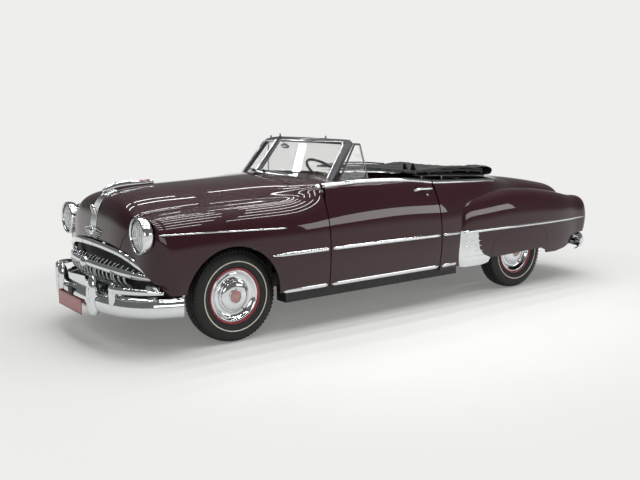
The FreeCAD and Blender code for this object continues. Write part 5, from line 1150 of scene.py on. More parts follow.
def makeWindshield():
    baseMiddle, baseCorner, topCorner, topMiddle, normal = glassCorners()
    header, bases, inner, pillars, gasket = Form(), Form(), Form(), Form(), Form()
    # one dark header from corner to corner, over both panes
    half = smoothPath([topMiddle, topMiddle.lerp(topCorner, .5) + Vector((.004, 0, .003)), topCorner], 24)
    whole = flipped(half[:0:-1]) + half
    outs = [normal if p.y > .02 else (Vector((normal.x, -normal.y, normal.z)) if p.y < -.02
                                      else Vector((normal.x, 0, normal.z))) for p in whole]
    header.sweep(whole, outs, boxedSection(cabin["headerWidth"], cabin["headerDepth"]))
    foot = baseCorner + (baseCorner - topCorner) * .03
    path = [foot.lerp(topCorner, k / 11) for k in range(12)]
    ribbed = []
    for k in range(32):
        u = -.5 + k / 31
        ribbed.append((u * cabin["pillarWidth"], cabin["pillarDepth"] / 2
                       + cabin["ribDepth"] * sin(u * 2 * pi * cabin["ribs"])))
    ribbed = ribbed + [(cabin["pillarWidth"] / 2, -cabin["pillarDepth"] / 2),
                       (-cabin["pillarWidth"] / 2, -cabin["pillarDepth"] / 2)]
    pillars.sweep(path, normal, ribbed).mirror()
    # chrome frame round each pane with a rounded outer corner
    into = .022
    across, upward = (baseCorner - baseMiddle).normalized(), (topMiddle - baseMiddle).normalized()
    corners = [baseMiddle + across * into + upward * .016,
               topCorner - across * .075 - upward * .024, topMiddle + across * into - upward * .024]
    outerTurn = [baseCorner.lerp(topCorner, t) - across * .03 for t in (.06, .35, .62, .8)]
    loop = [corners[0], baseMiddle.lerp(baseCorner, .5) + upward * .016] + [
        baseCorner - across * .055 + upward * .018] + outerTurn + [
        topCorner - across * .048 - upward * .03, corners[1], topMiddle.lerp(topCorner, .45) - upward * .024,
        corners[2]]
    loop = [p + normal * cabin["frameProud"] for p in loop]
    dense = smoothPath(loop, 70)
    inner.sweep(dense, normal, ovalSection(cabin["innerFrame"], .006, 12))
    post = [loop[-1], loop[0]]
    inner.sweep(post, normal, ovalSection(.0045, .005, 10))
    inner.mirror()
    middle = [baseMiddle + Vector((.006, 0, -.01)), topMiddle + Vector((.006, 0, 0))]
    divider = Form().sweep(middle, Vector((1, 0, 1)), boxedSection(*cabin["divider"]))
    line = smoothPath([baseMiddle + Vector((.008, 0, .002)),
                       baseMiddle.lerp(baseCorner, .5) + Vector((.012, 0, .006)),
                       baseCorner + Vector((.006, .004, 0))], 30)
    lineOuts = [Vector((normal.x, normal.y, normal.z + .5))] * 30
    bases.sweep(line, lineOuts, boxedSection(*cabin["base"], .6)).mirror()
    gasket.sweep([p + Vector((.014, 0, -.01)) for p in line], lineOuts,
                 ovalSection(*cabin["gasket"], 12)).mirror()
    header.piece("windshieldHeader", headerEnamel, "body", "chrome", ["windshield_frame"])
    pillars.piece("windshieldPillars", headerEnamel, "body", "chrome", (), 24)
    inner.piece("windshieldInnerFrames", chrome)
    divider.piece("windshieldDivider", headerEnamel)
    bases.piece("windshieldBase", chrome)
    gasket.piece("windshieldGasket", rubberSeal)
    pegs = Form()
    for y in cabin["pegs"]:
        spot = topMiddle.lerp(topCorner, abs(y) / topCorner.y)
        verts, faces = turned([(.011, 0), (.011, .007), (.007, .01), (.0065, .022), (.0085, .027), (0, .031)],
                              14, "Z")
        pegs.add([(spot.x + v[0], y + v[1], spot.z + cabin["pegSink"] + v[2]) for v in verts], faces)
    pegs.piece("headerPegs", headerEnamel)
    # wipers parked along the base, and the mirror behind the header
    arms, blades = Form(), Form()
    for side in (1, -1):
        start = baseMiddle.lerp(baseCorner, cabin["wiperReach"][0]) + normal * .034 + upward * .01
        end = baseMiddle.lerp(baseCorner, cabin["wiperReach"][1]) + normal * .03 + upward * .04
        armPath = smoothPath([start, start.lerp(end, .35) + normal * .01,
                              start.lerp(end, .8) + normal * .006], 16)
        bladePath = [start.lerp(end, t) + upward * .012 - normal * .003 for t in (.28, .5, .75, 1.0)]
        bladePath = smoothPath(bladePath, 20)
        hub, faces = turned([(0, .012), (.008, .011), (.0105, .004), (.012, -.012)], 18, "X")
        hub = [start + Vector(v) for v in hub]
        if side < 0:
            armPath, bladePath, hub = flipped(armPath), flipped(bladePath), flipped([Vector(v) for v in hub])
        out = Vector((normal.x, side * normal.y, normal.z))
        arms.sweep(armPath, out, ovalSection(*cabin["arm"], 8)).add(hub, faces)
        blades.sweep(bladePath, out, ovalSection(*cabin["blade"], 8), tapers(20, (.05, .05)))
    arms.piece("wiperArms", rubberSeal)
    blades.piece("wiperBlades", rubberSeal)
    back = Form()
    hung = topMiddle + Vector(cabin["mirrorHang"])
    shell, faces = turned([(0, .01), (.55, .009), (.85, .006), (1, 0), (.98, -.007), (.9, -.008), (0, -.008)],
                          40, "X")
    wide, high = cabin["mirror"]
    back.add([hung + Vector((v[0], v[1] * wide, v[2] * high)) for v in shell], faces)
    stem = smoothPath([topMiddle + Vector((-.01, 0, -.01)), topMiddle + Vector((-.032, 0, -.03)), hung], 10)
    back.sweep(stem, leftwards, ovalSection(.005, .005, 10))
    back.piece("rearMirror", chrome)


def makeVentFrames():
    lower, rearLower = place((-.33, .803, 1.15)), place((-.427, .803, 1.15))
    rearTop, frontTop = place((-.417, .738, 1.425)), place((-.3955, .738, 1.43))
    for side, label in bothSides:
        riding = "door_left" if side > 0 else "door_right"
        turn = Matrix.Scale(side, 4, (0, 1, 0))
        out = Vector((0, 1, .2))
        dark = smoothPath([lower + Vector((-.004, 0, -.005)), frontTop + Vector((-.006, 0, -.01))], 10)
        top = [frontTop + Vector((0, 0, -.007)), rearTop + Vector((.004, 0, -.007))]
        rear = [rearTop + Vector((.005, 0, -.004)), rearLower + Vector((.005, 0, -.005))]
        bars = Form().sweep(dark, out, boxedSection(*cabin["ventFrame"]))
        bars.sweep(top, out, boxedSection(*cabin["ventTop"]))
        bars.moved(turn).piece("ventFrame" + label, headerEnamel, riding)
        Form().sweep(rear, out, boxedSection(*cabin["ventPost"])).moved(turn).piece(
            "ventPost" + label, chrome, riding, "chrome")


def looseShape(nodeName, steps):
    # an even closed net from a seat's solid, a little smaller, its edges smoothed off
    source = nodes[nodeName]
    seed = bpy.data.objects.new("seed", source.data.copy())
    link(seed)
    spots = np.array([tuple(v.co) for v in seed.data.vertices])
    low, high = spots.min(0), spots.max(0)
    middle, size = (low + high) / 2, high - low
    for v in seed.data.vertices:
        v.co = Vector(middle + (np.array(v.co) - middle) * (1 - 2 * cabin["shrink"] / size))
    remesh = seed.modifiers.new("even", "REMESH")
    remesh.mode = "VOXEL"
    remesh.voxel_size = cabin["voxel"]
    mesh = bpy.data.meshes.new_from_object(seed.evaluated_get(bpy.context.evaluated_depsgraph_get()))
    bpy.data.objects.remove(seed)
    net = bmesh.new()
    net.from_mesh(mesh)
    for _ in range(steps):
        bmesh.ops.smooth_vert(net, verts=net.verts, factor=.5, use_axis_x=True, use_axis_y=True, use_axis_z=True)
    net.to_mesh(mesh)
    net.free()
    return mesh, low, high


def swollen(mesh):
    # blow the net up a little as cloth, then let no point go further than the cap
    rest = np.array([tuple(v.co) for v in mesh.vertices])
    holder = bpy.data.objects.new("swelling", mesh)
    link(holder)
    cloth = holder.modifiers.new("swell", "CLOTH")
    cloth.settings.use_pressure = True
    cloth.settings.uniform_pressure_force = cabin["pressure"]
    cloth.settings.effector_weights.gravity = 0
    cloth.settings.quality = 4
    cloth.collision_settings.use_collision = False
    cloth.point_cache.frame_start, cloth.point_cache.frame_end = 1, 20
    for frameNumber in range(1, 21):
        bpy.context.scene.frame_set(frameNumber)
    seen = holder.evaluated_get(bpy.context.evaluated_depsgraph_get())
    out = np.array([tuple(v.co) for v in seen.data.vertices])
    holder.modifiers.remove(cloth)
    bpy.data.objects.remove(holder)
    bpy.context.scene.frame_set(1)
    move = out - rest
    length = np.linalg.norm(move, axis=1, keepdims=True)
    return rest + move * np.minimum(1, cabin["swell"] / np.maximum(length, 1e-9))


def softSeat(name, nodeName, upright):
    mesh, low, high = looseShape(nodeName, 5)
    spots = swollen(mesh)
    # back into the space of its solid
    least, most = spots.min(0), spots.max(0)
    spots = low + (spots - least) / (most - least) * (high - low)
    mesh.vertices.foreach_set("co", spots.ravel())
    mesh.update()
    net = bmesh.new()
    net.from_mesh(mesh)
    bmesh.ops.subdivide_edges(net, edges=net.edges, cuts=1, use_grid_fill=True, smooth=.0)
    bmesh.ops.smooth_vert(net, verts=net.verts, factor=.5, use_axis_x=True, use_axis_y=True, use_axis_z=True)
    net.normal_update()
    half = (high[1] - low[1]) / 2
    for v in net.verts:
        facing = v.normal.x + .25 * v.normal.z if upright else v.normal.z + .3 * v.normal.x
        share = (v.co.z - low[2]) / (high[2] - low[2]) if upright else (v.co.x - low[0]) / (high[0] - low[0])
        if facing < .3:
            continue
        inside = min(1, max(0, (half - .1 - abs(v.co.y)) / .012)) * min(1, max(0, (share - .1) / .04)) * min(
            1, max(0, (.8 - share) / .04))
        off = (v.co.y / cabin["pleatPitch"] + .5) % 1 - .5
        groove = np.exp(-(off * cabin["pleatPitch"] / cabin["pleatWidth"]) ** 2) * inside
        border = 0
        if upright:
            border = np.exp(-((share - .815) / .018) ** 2) * (abs(v.co.y) < half - .09)
        border = max(border, np.exp(-((half - .095 - abs(v.co.y)) / .008) ** 2) * (.1 < share < .83))
        v.co -= v.normal * float(max(groove, border * .9)) * cabin["pleatDepth"]
    net.to_mesh(mesh)
    net.free()
    mesh.shade_smooth()
    mesh.name = name
    mesh.materials.clear()
    obj = newObject(name, mesh, seatHide)
    finishPiece(obj, "body", [nodeName])
    tree = BVHTree.FromPolygons([tuple(v.co) for v in mesh.vertices], [list(p.vertices) for p in mesh.polygons])
    # pale piping along the seam between the facing and the sides
    track, outs = [], []
    count = 90
    for k in range(count):
        angle = 2 * pi * k / count
        c, s = cos(angle), sin(angle)
        y = abs(c) ** .22 * (1 if c > 0 else -1) * (half - .012)
        if upright:
            z = (low[2] + high[2]) / 2 + abs(s) ** .22 * (1 if s > 0 else -1) * ((high[2] - low[2]) / 2 - .01)
            start = Vector((high[0] + .02 - .12 * (z - low[2]) / (high[2] - low[2]), y, z))
        else:
            x = (low[0] + high[0]) / 2 + abs(s) ** .22 * (1 if s > 0 else -1) * ((high[0] - low[0]) / 2 - .01)
            start = Vector((x, y, high[2] - .018))
        spot, normal, face, distance = tree.find_nearest(start)
        track.append(spot)
        outs.append(normal)
    track = [(track[k - 1] + track[k] * 2 + track[(k + 1) % count]) / 4 for k in range(count)]
    Form().sweep(track, outs, ovalSection(cabin["piping"], cabin["piping"], 8), None, True).piece(
        name + "Piping", paleHide, "body", "seat_hide")


def makeSteeringWheel():
    centre, foot = place((-.385, .395, 1.165)), place((-.2185, .395, .56))
    axis = (centre - foot).normalized()
    turn = Matrix.Translation(centre) @ axis.to_track_quat("Z", "Y").to_matrix().to_4x4()
    radius, tube = cabin["wheelRadius"], cabin["rimRadius"]
    rim, verts = Form(), []
    count = 120
    for k in range(count):
        angle = 2 * pi * k / count
        swell = tube * (1 - .07 * (1 if k % 4 == 0 else 0) * (1 if cos(angle) > -.4 else 0))
        for j in range(14):
            turnOfTube = 2 * pi * j / 14
            reach = radius + swell * cos(turnOfTube)
            verts.append((cos(angle) * reach, sin(angle) * reach, swell * sin(turnOfTube)))
    faces = [[k * 14 + j, k * 14 + (j + 1) % 14, (k + 1) % count * 14 + (j + 1) % 14, (k + 1) % count * 14 + j]
             for k in range(count) for j in range(14)]
    rim.add(verts, faces)
    for angle in (0, pi, -pi / 2):
        reach = [Vector((cos(angle) * r, sin(angle) * r, -.02 * (1 - r / radius)))
                 for r in (.015, .06, .12, radius)]
        path = smoothPath(reach, 16)
        rim.sweep(path, upwards, boxedSection(*cabin["spoke"], .7))
    rim.lathe([(0, .004), (.02, .003), (.032, -.004), (.036, -.016), (.03, -.045), (.026, -.06)], 36, "Z")
    rim.moved(turn).piece("steeringWheel", darkPlastic, "steering_wheel", "wheel_plastic", ["steering_wheel"], 50)
    horn = Form()
    ring = [Vector((cos(a) * cabin["ringRadius"], sin(a) * cabin["ringRadius"], .002))
            for a in (pi + pi * k / 40 - .25 + .5 * (k / 40) for k in range(41))]
    horn.sweep(ring, upwards, ovalSection(*cabin["horn"], 10))
    for end in (0, 40):
        horn.sweep([ring[end], ring[end].normalized() * .02], upwards, ovalSection(.004, .003, 8))
    horn.lathe([(0, .012), (.012, .011), (.019, .007), (.022, .001)], 30, "Z")
    horn.moved(turn).piece("hornRing", chrome, "steering_wheel", "chrome")


dash = {
    "face": .5585, "dials": ((.379, 1.085, .062), (-.1, 1.085, .045)), "ticks": 21, "sweep": (225, 270),
    "bars": 13, "barsFrom": .075, "barPitch": .013, "barHalf": .0035, "barZ": (1.03, 1.13),
    "grilleY": (.066, .24), "rails": (1.02, 1.13), "railHeight": .01,
    "knobs": ((.52, 1.06), (.25, .985), (.17, .985), (.09, .985), (.01, .985), (-.62, 1.06)),
    "gloveDoor": ((-.22, 1.02), (-.56, 1.02), (-.56, 1.14), (-.22, 1.14)),
}


def dialAt(y, z, radius, x):
    bezel = [(radius, -.004), (radius, .006), (radius * .94, .01), (radius * .88, .006), (radius * .86, .001)]
    face = [(0, .0015), (radius * .3, .0015), (radius * .87, .0015)]
    turn = Matrix.Translation((x, y, z)) @ Matrix.Scale(-1, 4, (1, 0, 0))
    Form().lathe(bezel, 40, "X").moved(turn).piece("dialBezel", chrome)
    Form().lathe(face, 40, "X").moved(turn).piece("dialCard", dialFace, "body", "dash_paint")
    marks = Form()
    for k in range(dash["ticks"]):
        angle = radians(dash["sweep"][0] - dash["sweep"][1] * k / (dash["ticks"] - 1))
        long = .16 if k % 5 == 0 else .08
        ends = [Vector((-.002, cos(angle) * r, sin(angle) * r)) for r in (radius * .8, radius * (.8 - long))]
        marks.sweep(ends, forwards, ovalSection(.0009, .0006, 6))
    marks.sweep([Vector((-.003, 0, 0)), Vector((-.003, -radius * .5, radius * .35))], forwards,
                ovalSection(.0012, .0008, 6))
    marks.moved(Matrix.Translation((x, y, z))).piece("dialMarks", darkPlastic, "body", "dash_paint")


def makeDash():
    face, half = dash["face"], dash["barHalf"]
    for y, z, radius in dash["dials"]:
        dialAt(y, z, radius, face)
    bars = Form()
    foot, top = dash["barZ"]
    for number in range(dash["bars"]):
        y = dash["barsFrom"] + dash["barPitch"] * number
        bars.block((face - .01, y - half, foot), (face + .006, y + half, top), .003, 2)
    first, last = dash["grilleY"]
    for z in dash["rails"]:
        bars.block((face - .008, first, z), (face + .006, last, z + dash["railHeight"]), .003, 2)
    for y, z in dash["knobs"]:
        knob, faces = turned([(0, .024), (.009, .023), (.012, .018), (.011, .008), (.006, .002), (.006, -.01)],
                             20, "X")
        bars.add([Vector((face - v[0], y + v[1], z + v[2])) for v in knob], faces)
    bars.piece("dashBrightwork", chrome)
    line = Form()
    path = [Vector((face + .0005, y, z)) for y, z in dash["gloveDoor"]]
    line.sweep(path, -forwards, ovalSection(.0014, .0014, 6), None, True)
    line.piece("gloveDoorLine", rubberSeal, "body", "dash_paint")


def floorCarpet(name, xRange, yRange, columns, rows):
    # loop pile carpet laid over whatever floor lies below
    floor = nodes["floor_pan"].data
    tree = BVHTree.FromPolygons([tuple(v.co) for v in floor.vertices], [list(p.vertices) for p in floor.polygons])
    tops = []
    for a in range(rows + 1):
        for b in range(columns + 1):
            x = xRange[0] + (xRange[1] - xRange[0]) * a / rows
            y = yRange[0] + (yRange[1] - yRange[0]) * b / columns
            hit = tree.ray_cast(Vector((x, y, .62)), -upwards)[0]
            tops.append(Vector((x, y, (hit.z if hit else .33) + .007)))
    size = len(tops)
    verts = tops + [v - Vector((0, 0, .006)) for v in tops]
    wide = columns + 1
    faces = gridFaces(rows + 1, wide)
    faces += [[size + k for k in face[::-1]] for face in list(faces)]
    rim = ([b for b in range(wide)] + [a * wide + columns for a in range(1, rows + 1)]
           + [rows * wide + b for b in range(columns - 1, -1, -1)] + [a * wide for a in range(rows - 1, 0, -1)])
    faces += [[rim[k], rim[(k + 1) % len(rim)], size + rim[(k + 1) % len(rim)], size + rim[k]]
              for k in range(len(rim))]
    Form().add(verts, faces).piece(name, carpet, "body", "frame_black", (), 60)


def makeDoorTrims():
    # handle and lock outside, crank and pull inside
    for side, label in bothSides:
        riding = "door_left" if side > 0 else "door_right"
        track, outs = skinTrack("body", [(-1.71, 1.016), (-1.8, 1.016), (-1.925, 1.012)], side, 24)
        lift = [.004 + cabin["handleLift"] * min(1, sin(pi * min(max((k - 1) / 22, 0), 1)) * 2.4)
                for k in range(24)]
        bar = [p + o * h for p, o, h in zip(track, outs, lift)]
        form = Form().sweep(bar, outs, ovalSection(*cabin["handle"], 14), tapers(24, (.12, .05), .5, .3))
        for k in (2, 20):
            stem = [track[k] - outs[k] * .002, bar[k]]
            form.sweep(stem, forwards, ovalSection(.01, .008, 14))
        spotTrack, spotOuts = skinTrack("body", [(-1.86, .972), (-1.885, .972)], side, 2)
        knob = [spotTrack[0], spotTrack[0] + spotOuts[0] * .008]
        form.sweep(knob, forwards, ovalSection(cabin["lockRadius"], cabin["lockRadius"], 18), [(1, 1), (.8, .8)])
        form.piece("doorHandle" + label, chrome, riding, "chrome")
        inner = Form()
        y = side * cabin["innerY"]
        for x, z, length in ((.36, .9, .085), (-.02, .96, .075)):
            hub, faces = turned([(0, -.034), (.014, -.032), (.018, -.02), (.016, .002)], 20)
            inner.add([(x + v[0], y + side * v[1], z + v[2]) for v in hub], faces)
            path = smoothPath([(x, y - side * .028, z), (x + length * .5, y - side * .036, z - .012),
                               (x + length, y - side * .034, z - .03)], 12)
            inner.sweep(path, leftwards, ovalSection(.006, .004, 10), tapers(12, (.1, .15)))
            inner.sweep([path[-1], path[-1] - leftwards * (side * .028)], forwards, ovalSection(.009, .009, 14))
        inner.piece("doorInner" + label, chrome, riding, "chrome")


makeWindshield()
makeVentFrames()
softSeat("frontCushion", "front_seat_cushion", False)
softSeat("frontBack", "front_seat_back", True)
softSeat("rearCushion", "rear_seat_cushion", False)
softSeat("rearBack", "rear_seat_back", True)
makeSteeringWheel()
makeDash()
floorCarpet("carpetFront", (.34, .84), (-.7, .7), 40, 16)
floorCarpet("carpetRear", (-.44, -.245), (-.56, .56), 40, 8)
makeDoorTrims()
print("cabin fitted")


# Folded cloth top, skirts' seals, tail
topFold = {
    "layers": [(-.25, 1.137), (-.5, 1.132), (-.85, 1.118), (-1.1, 1.098), (-1.185, 1.108), (-1.165, 1.142),
               (-1.00, 1.14), (-.78, 1.138), (-.6, 1.133), (-.545, 1.138), (-.565, 1.146), (-.7, 1.152),
               (-.9, 1.155), (-1.1, 1.156), (-1.215, 1.152), (-1.262, 1.128), (-1.235, 1.097), (-1.15, 1.092)],
    # cut size of the real top: a deck panel from header to rear deck with a quarter panel sewn to each side
    "cutSize": (2.24, 2.25), "cutArea": 3.5,
    "halfWidth": .7, "rows": 170, "columns": 130,
    "peakPlace": -.275, "peaks": ((.535, .07), (.645, .078)), "peakReach": (.034, .026), "highest": 1.243,
    "farShare": .3, "header": (.05, .02), "bow": (.036, .014), "iron": (.014, .005),
    "bowSpots": ((-.42, 1.151), (-.68, 1.148), (-.9, 1.139), (-1.08, 1.126)),
}


def wrinkles(x, y, turnOfLayer):
    # long soft folds across the car with finer creases over them, the same each run
    return (.0055 * sin(9.0 * x + 3.1 * y + turnOfLayer) + .0045 * sin(23.0 * x - 5.3 * y + 1.7 * turnOfLayer)
            + .0028 * sin(47.0 * x + 17.0 * y + 2.2 * turnOfLayer) + .0016 * sin(95.0 * x - 41.0 * y))


def makeFoldedTop():
    path = smoothPath([(x, 0, z) for x, z in topFold["layers"]], topFold["rows"])
    columns = topFold["columns"]
    grid = []
    for k, p in enumerate(path):
        ahead = (path[min(k + 1, len(path) - 1)] - path[max(k - 1, 0)]).normalized()
        out = Vector((-ahead.z, 0, ahead.x))
        layer = 6.283 * k / len(path)
        row = []
        for b in range(columns + 1):
            t = 2 * b / columns - 1
            y = t * topFold["halfWidth"] * (1 - .05 * max(0, (-.85 - p.x) / .4))
            lift = wrinkles(p.x, y, layer)
            # the stack reaches further ahead at the sides, and is gathered there in two peaks
            upper = min(1, max(0, (k / len(path) - .46) / .06))
            side = min(1, max(0, (abs(t) - .55) / .2))
            side = side * side * (3 - 2 * side) * (1 if y > 0 else topFold["farShare"])
            near = min(1, max(0, (p.x + 1.05) / .45))
            x = p.x + .27 * side * near * upper
            peak = sum(high * np.exp(-((x - topFold["peakPlace"]) / topFold["peakReach"][0]) ** 2
                                     - ((y - spot) / topFold["peakReach"][1]) ** 2)
                       for spot, high in topFold["peaks"])
            rise = (.026 * side * (.5 + .5 * near) * upper + peak * (.3 + .7 * upper)) - .014 * abs(t) ** 8
            moved = Vector((x, y, p.z + rise)) + out * lift * (.4 + .6 * upper)
            row.append(Vector((moved.x, moved.y, min(moved.z, topFold["highest"]))))
        grid.append(row)
    mesh = bpy.data.meshes.new("foldedTop")
    mesh.from_pydata([tuple(v) for row in grid for v in row], [], gridFaces(len(grid), columns + 1))
    mesh.shade_smooth()
    obj = newObject("foldedTop", mesh, topCloth)
    finishPiece(obj, "body", ["folded_top"])


def makeTopBows():
    # header bow with its bright strip at the front of the stack, the wooden bows between the layers, the side
    # irons with their rivets
    bow = Form()
    path = [Vector((-.236 - .012 * (abs(t) ** 2), t * .735, 1.172 - .012 * t * t)) for t in
            [2 * k / 40 - 1 for k in range(41)]]
    bow.sweep(path, upwards, boxedSection(*topFold["header"], .5))
    bow.piece("headerBow", chassisBlack, "body", "top_cloth")
    strip = Form()
    path = [p + Vector((.022, 0, -.004)) for p in path]
    strip.sweep(path, forwards, ovalSection(.007, .0045, 10))
    strip.piece("headerBowTrim", dullChrome)
    for number, (x, z) in enumerate(topFold["bowSpots"]):
        rib = Form()
        path = [Vector((x, t * .7, z - .01 * t * t)) for t in [2 * k / 30 - 1 for k in range(31)]]
        rib.sweep(path, upwards, boxedSection(*topFold["bow"], .5))
        rib.piece("topBow" + str(number), chassisBlack, "body", "top_cloth")
    sides = Form()
    for shift, height in ((0, 0), (.012, .022)):
        path = smoothPath([(-.26 - shift, .742, 1.16 + height * .3), (-.5, .745, 1.156 + height),
                           (-.8, .742, 1.15 + height), (-1.08, .7, 1.124 + height)], 40)
        sides.sweep(path, leftwards, boxedSection(*topFold["iron"], .6))
    for x in (-.34, -.52, -.71, -.9):
        rivet, faces = turned([(0, .008), (.006, .007), (.008, .003), (.008, 0)], 14)
        sides.add([(x + v[0], .747 + v[1], 1.16 + v[2]) for v in rivet], faces)
    sides.mirror().piece("topSideIrons", chassisBlack)


def makeSkirtSeals():
    # thin black rubber in the seam round each wheel skirt
    outline = ((-.845, .372), (-.85, .44), (-.86, .5), (-.885, .55), (-.93, .58), (-1.0, .592), (-1.06, .58),
               (-1.088, .535), (-1.098, .46), (-1.0985, .375))
    for side, label in bothSides:
        points = [(sx * car["wheelbase"], sz * car["shoulder"]) for sx, sz in outline]
        track, outs = skinTrack("fender" + label, points, side, 70)
        track = lifted(track, outs, .0002)
        Form().sweep(track, outs, ovalSection(.0022, .0012, 8)).piece(
            "skirtSeal" + label, rubberSeal, "body", "maroon_paint")


tail = {
    "lamp": (-2.466, .768, .62), "plate": ((-2.5655, -.15, .4), (-2.563, .15, .5)), "borderX": -2.5668,
    "border": ((-.144, .406), (.144, .406), (.144, .494), (-.144, .494)), "knob": (-2.508, .75, .5),
    "ribs": 6, "ribPitch": .045, "ribFoot": (.355, .35), "ribX": (-2.245, -2.5), "ribLean": .016,
    "ribLift": .0045,
}


def makeTailLamps():
    # turned red lens in a bright bezel at each side
    x, y, z = tail["lamp"]
    for side, label in bothSides:
        spot = Matrix.Translation((x, side * y, z)) @ Matrix.Scale(-1, 4, (1, 0, 0))
        bezel = [(.034, -.026), (.0345, .004), (.0335, .012), (.03, .016), (.0275, .013), (.027, .006)]
        lens = [(.0272, .008), (.025, .018), (.019, .027), (.01, .033), (0, .035)]
        Form().lathe(bezel, 40, "X").moved(spot).piece(
            "tailBezel" + label, chrome, "body", "chrome", ["tail_lamps"] if side > 0 else (), 50)
        Form().lathe(lens, 40, "X").moved(spot).piece("tailLens" + label, redGlass, "body", "red_glass")


def makeRearPlate():
    plate = Form()
    plate.block(*tail["plate"], .001, 1)
    plate.piece("rearPlate", plateEnamel)
    border = Form()
    path = [Vector((tail["borderX"], y, z)) for y, z in tail["border"]]
    border.sweep(path, -forwards, ovalSection(.0015, .0012, 8), None, True)
    border.piece("rearPlateBorder", rubberSeal)


def makeFinial():
    # dark knob on a short stem above the end of the rear bumper, on the near side
    form = Form()
    verts, faces = turned([(0, .034), (.008, .032), (.012, .024), (.012, .012), (.0075, .004), (.005, 0),
                           (.005, -.06)], 20, "Z")
    x, y, z = tail["knob"]
    form.add([(x + v[0], y + v[1], z + v[2]) for v in verts], faces)
    form.piece("bumperKnob", rubberSeal)


def makeOrnamentFin():
    # clear fin with a red upper edge, set in the bright spear on the hood
    for name, material, low, high, half in (("ornamentFin", flutedGlass, .0, 1.0, .0105),
                                            ("ornamentEdge", redEnamel, .8, 1.06, .0055)):
        crest = [(2.27, 1.108), (2.2, 1.15), (2.12, 1.174), (2.02, 1.186), (1.9, 1.19)]
        base = [(2.275, 1.098), (2.2, 1.128), (2.12, 1.146), (2.02, 1.158), (1.9, 1.165)]
        tops = smoothPath([(x, 0, z) for x, z in crest], 40)
        feet = smoothPath([(x, 0, z) for x, z in base], 40)
        verts, faces = [], []
        for k, (a, b) in enumerate(zip(feet, tops)):
            wide = half * sin(pi * (k + 1) / 41) ** .4
            lower, upper = a.lerp(b, low), a.lerp(b, high)
            verts += [lower + Vector((0, wide, 0)), lower.lerp(upper, .8) + Vector((0, wide * .7, 0)), upper,
                      lower.lerp(upper, .8) + Vector((0, -wide * .7, 0)), lower + Vector((0, -wide, 0))]
        for k in range(39):
            p, q = k * 5, (k + 1) * 5
            faces += [[p + j, p + (j + 1) % 5, q + (j + 1) % 5, q + j] for j in range(5)]
        faces += [[0, 1, 2, 3, 4], [39 * 5 + j for j in range(5)]]
        Form().add(verts, faces).piece(name, material, "hood", "chrome")


def makeGuardRibsRear():
    form = Form()
    for side in (1, -1):
        for number in range(tail["ribs"]):
            rise = tail["ribPitch"] * number
            ends = [(tail["ribX"][0], tail["ribFoot"][0] + rise),
                    (tail["ribX"][1] + tail["ribLean"] * number, tail["ribFoot"][1] + rise)]
            track, outs = skinTrack("fenderLeft" if side > 0 else "fenderRight", ends, side, 14)
            track = lifted(track, outs, tail["ribLift"])
            form.sweep(track, outs, ovalSection(.0045, .0035, 10), tapers(14, (.1, .1)))
    form.piece("stoneGuardRibs", chrome)


makeFoldedTop()
makeTopBows()
makeSkirtSeals()
makeTailLamps()
makeRearPlate()
makeFinial()
makeOrnamentFin()
makeGuardRibsRear()
print("top and tail dressed")


# Ground, light and camera
studio = {"floorColour": "#f1f1ef", "wallColour": "#eeeeec", "floorSize": 60, "wallTop": .0, "ceilingFrom": .12,
          "ceilingShade": .19, "fadeFrom": 2.3, "fadeTo": 4.2, "floorLift": .2, "stripPower": 14,
          "stripSize": (1.5, .1), "stripHeight": 4.6, "stripRows": 7, "stripRowPitch": .95,
          "stripFirstRow": -2.2, "stripsInRow": 4, "stripPitch": 1.9, "stripFirst": -3.0,
          "sidePower": 105, "sidePlace": (5.5, 8.5, 3.4), "sideSize": (5, 2.4),
          "rearPower": 75, "rearPlace": (-5.4, 7.2, 2.7), "rearSize": (4.2, 1.3)}
view = {"place": (4.46525, 5.92325, 1.63142), "yaw": 4.0967127, "pitch": .1494506, "roll": .0203069,
        "focalPixels": 804.04, "imageWidth": 640}


def larger(tree, first, second):
    return addNode(tree, "ShaderNodeMath", {"operation": "MAXIMUM"}, {0: first, 1: second}).outputs[0]


def seenRays(tree):
    # what the camera sees straight on or through glass, and the rays of a light path
    rays = addNode(tree, "ShaderNodeLightPath").outputs
    return larger(tree, rays["Is Camera Ray"], rays["Is Transmission Ray"]), rays


def makeFloor():
    size = studio["floorSize"]
    mesh = bpy.data.meshes.new("studioFloor")
    mesh.from_pydata([(-size, -size, 0), (size, -size, 0), (size, size, 0), (-size, size, 0)], [], [(0, 1, 2, 3)])
    material = makeMaterial("paintedFloor", {"Base Color": studio["floorColour"], "Roughness": .55},
                            patterned(mottle, 900, "#f2f2f0", "#eeeeec", (.5, .6)))
    # away from the car the painted floor fades into the pale backdrop's own colour
    tree = material.node_tree
    spot = addNode(tree, "ShaderNodeTexCoord").outputs["Object"]
    far = addNode(tree, "ShaderNodeVectorMath", {"operation": "LENGTH"}, {0: spot}).outputs["Value"]
    fade = addNode(tree, "ShaderNodeMapRange", {"From Min": studio["fadeFrom"], "From Max": studio["fadeTo"],
                                                "To Min": studio["floorLift"],
                                                "interpolation_type": "SMOOTHSTEP"}, {"Value": far})
    seen, rays = seenRays(tree)
    mirrored = larger(tree, seen, rays["Is Glossy Ray"])
    shown = addNode(tree, "ShaderNodeMath", {"operation": "MULTIPLY"}, {0: fade.outputs[0], 1: mirrored})
    pale = addNode(tree, "ShaderNodeEmission", {"Color": toLinear(studio["wallColour"])})
    mix = addNode(tree, "ShaderNodeMixShader", None, {
        0: shown.outputs[0], 1: tree.nodes["Principled BSDF"].outputs[0], 2: pale.outputs[0]})
    tree.links.new(mix.outputs[0], tree.nodes["Material Output"].inputs["Surface"])
    newObject("studioFloor", mesh, material)


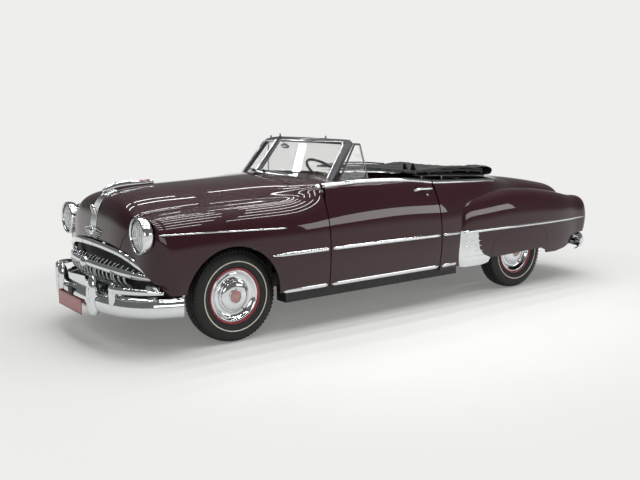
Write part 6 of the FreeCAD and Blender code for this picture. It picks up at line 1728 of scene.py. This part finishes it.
def makeWorld():
    world = bpy.data.worlds.new("studioWorld")
    bpy.context.scene.world = world
    world.use_nodes = True
    tree = world.node_tree
    # white walls up to a height, then an unlit ceiling, as in a photographer's hall
    toward = addNode(tree, "ShaderNodeTexCoord").outputs["Generated"]
    height = addNode(tree, "ShaderNodeSeparateXYZ", None, {"Vector": toward}).outputs["Z"]
    shade = addNode(tree, "ShaderNodeMapRange", {"From Min": studio["wallTop"], "From Max": studio["ceilingFrom"],
                                                 "To Min": 1.0, "To Max": studio["ceilingShade"],
                                                 "interpolation_type": "SMOOTHSTEP"}, {"Value": height})
    strength = larger(tree, seenRays(tree)[0], shade.outputs[0])
    background = tree.nodes["Background"]
    background.inputs["Color"].default_value = toLinear(studio["wallColour"])
    tree.links.new(strength, background.inputs["Strength"])


def makeLamp(name, power, size, spot, aim=(0, 0, .5)):
    lamp = bpy.data.lights.new(name, "AREA")
    lamp.shape = "RECTANGLE"
    lamp.size, lamp.size_y = size
    lamp.energy = power
    holder = bpy.data.objects.new(name, lamp)
    link(holder)
    holder.location = spot
    holder.rotation_euler = (Vector(aim) - Vector(spot)).to_track_quat("-Z", "Y").to_euler()


def makeCamera():
    yaw, pitch, roll = view["yaw"], view["pitch"], view["roll"]
    ahead = Vector((cos(pitch) * cos(yaw), cos(pitch) * sin(yaw), -sin(pitch)))
    right = ahead.cross(upwards).normalized()
    down = ahead.cross(right)
    turnedRight = cos(roll) * right + sin(roll) * down
    turnedDown = -sin(roll) * right + cos(roll) * down
    lens = bpy.data.cameras.new("photoCamera")
    lens.sensor_width = 36
    lens.lens = view["focalPixels"] / view["imageWidth"] * lens.sensor_width
    holder = bpy.data.objects.new("photoCamera", lens)
    link(holder)
    turn = Matrix((turnedRight, -turnedDown, -ahead)).transposed().to_4x4()
    holder.matrix_world = Matrix.Translation(view["place"]) @ turn
    bpy.context.scene.camera = holder


makeFloor()
makeWorld()
for row in range(studio["stripRows"]):
    for number in range(studio["stripsInRow"]):
        x = studio["stripFirst"] + number * studio["stripPitch"]
        y = studio["stripFirstRow"] + row * studio["stripRowPitch"]
        makeLamp("stripLamp", studio["stripPower"], studio["stripSize"], (x, y, studio["stripHeight"]), (x, y, 0))
makeLamp("sideLamp", studio["sidePower"], studio["sideSize"], studio["sidePlace"])
makeLamp("rearLamp", studio["rearPower"], studio["rearSize"], studio["rearPlace"])
makeCamera()
bpy.context.scene.view_settings.view_transform = "Standard"
print("studio ready")


print("all pieces made")
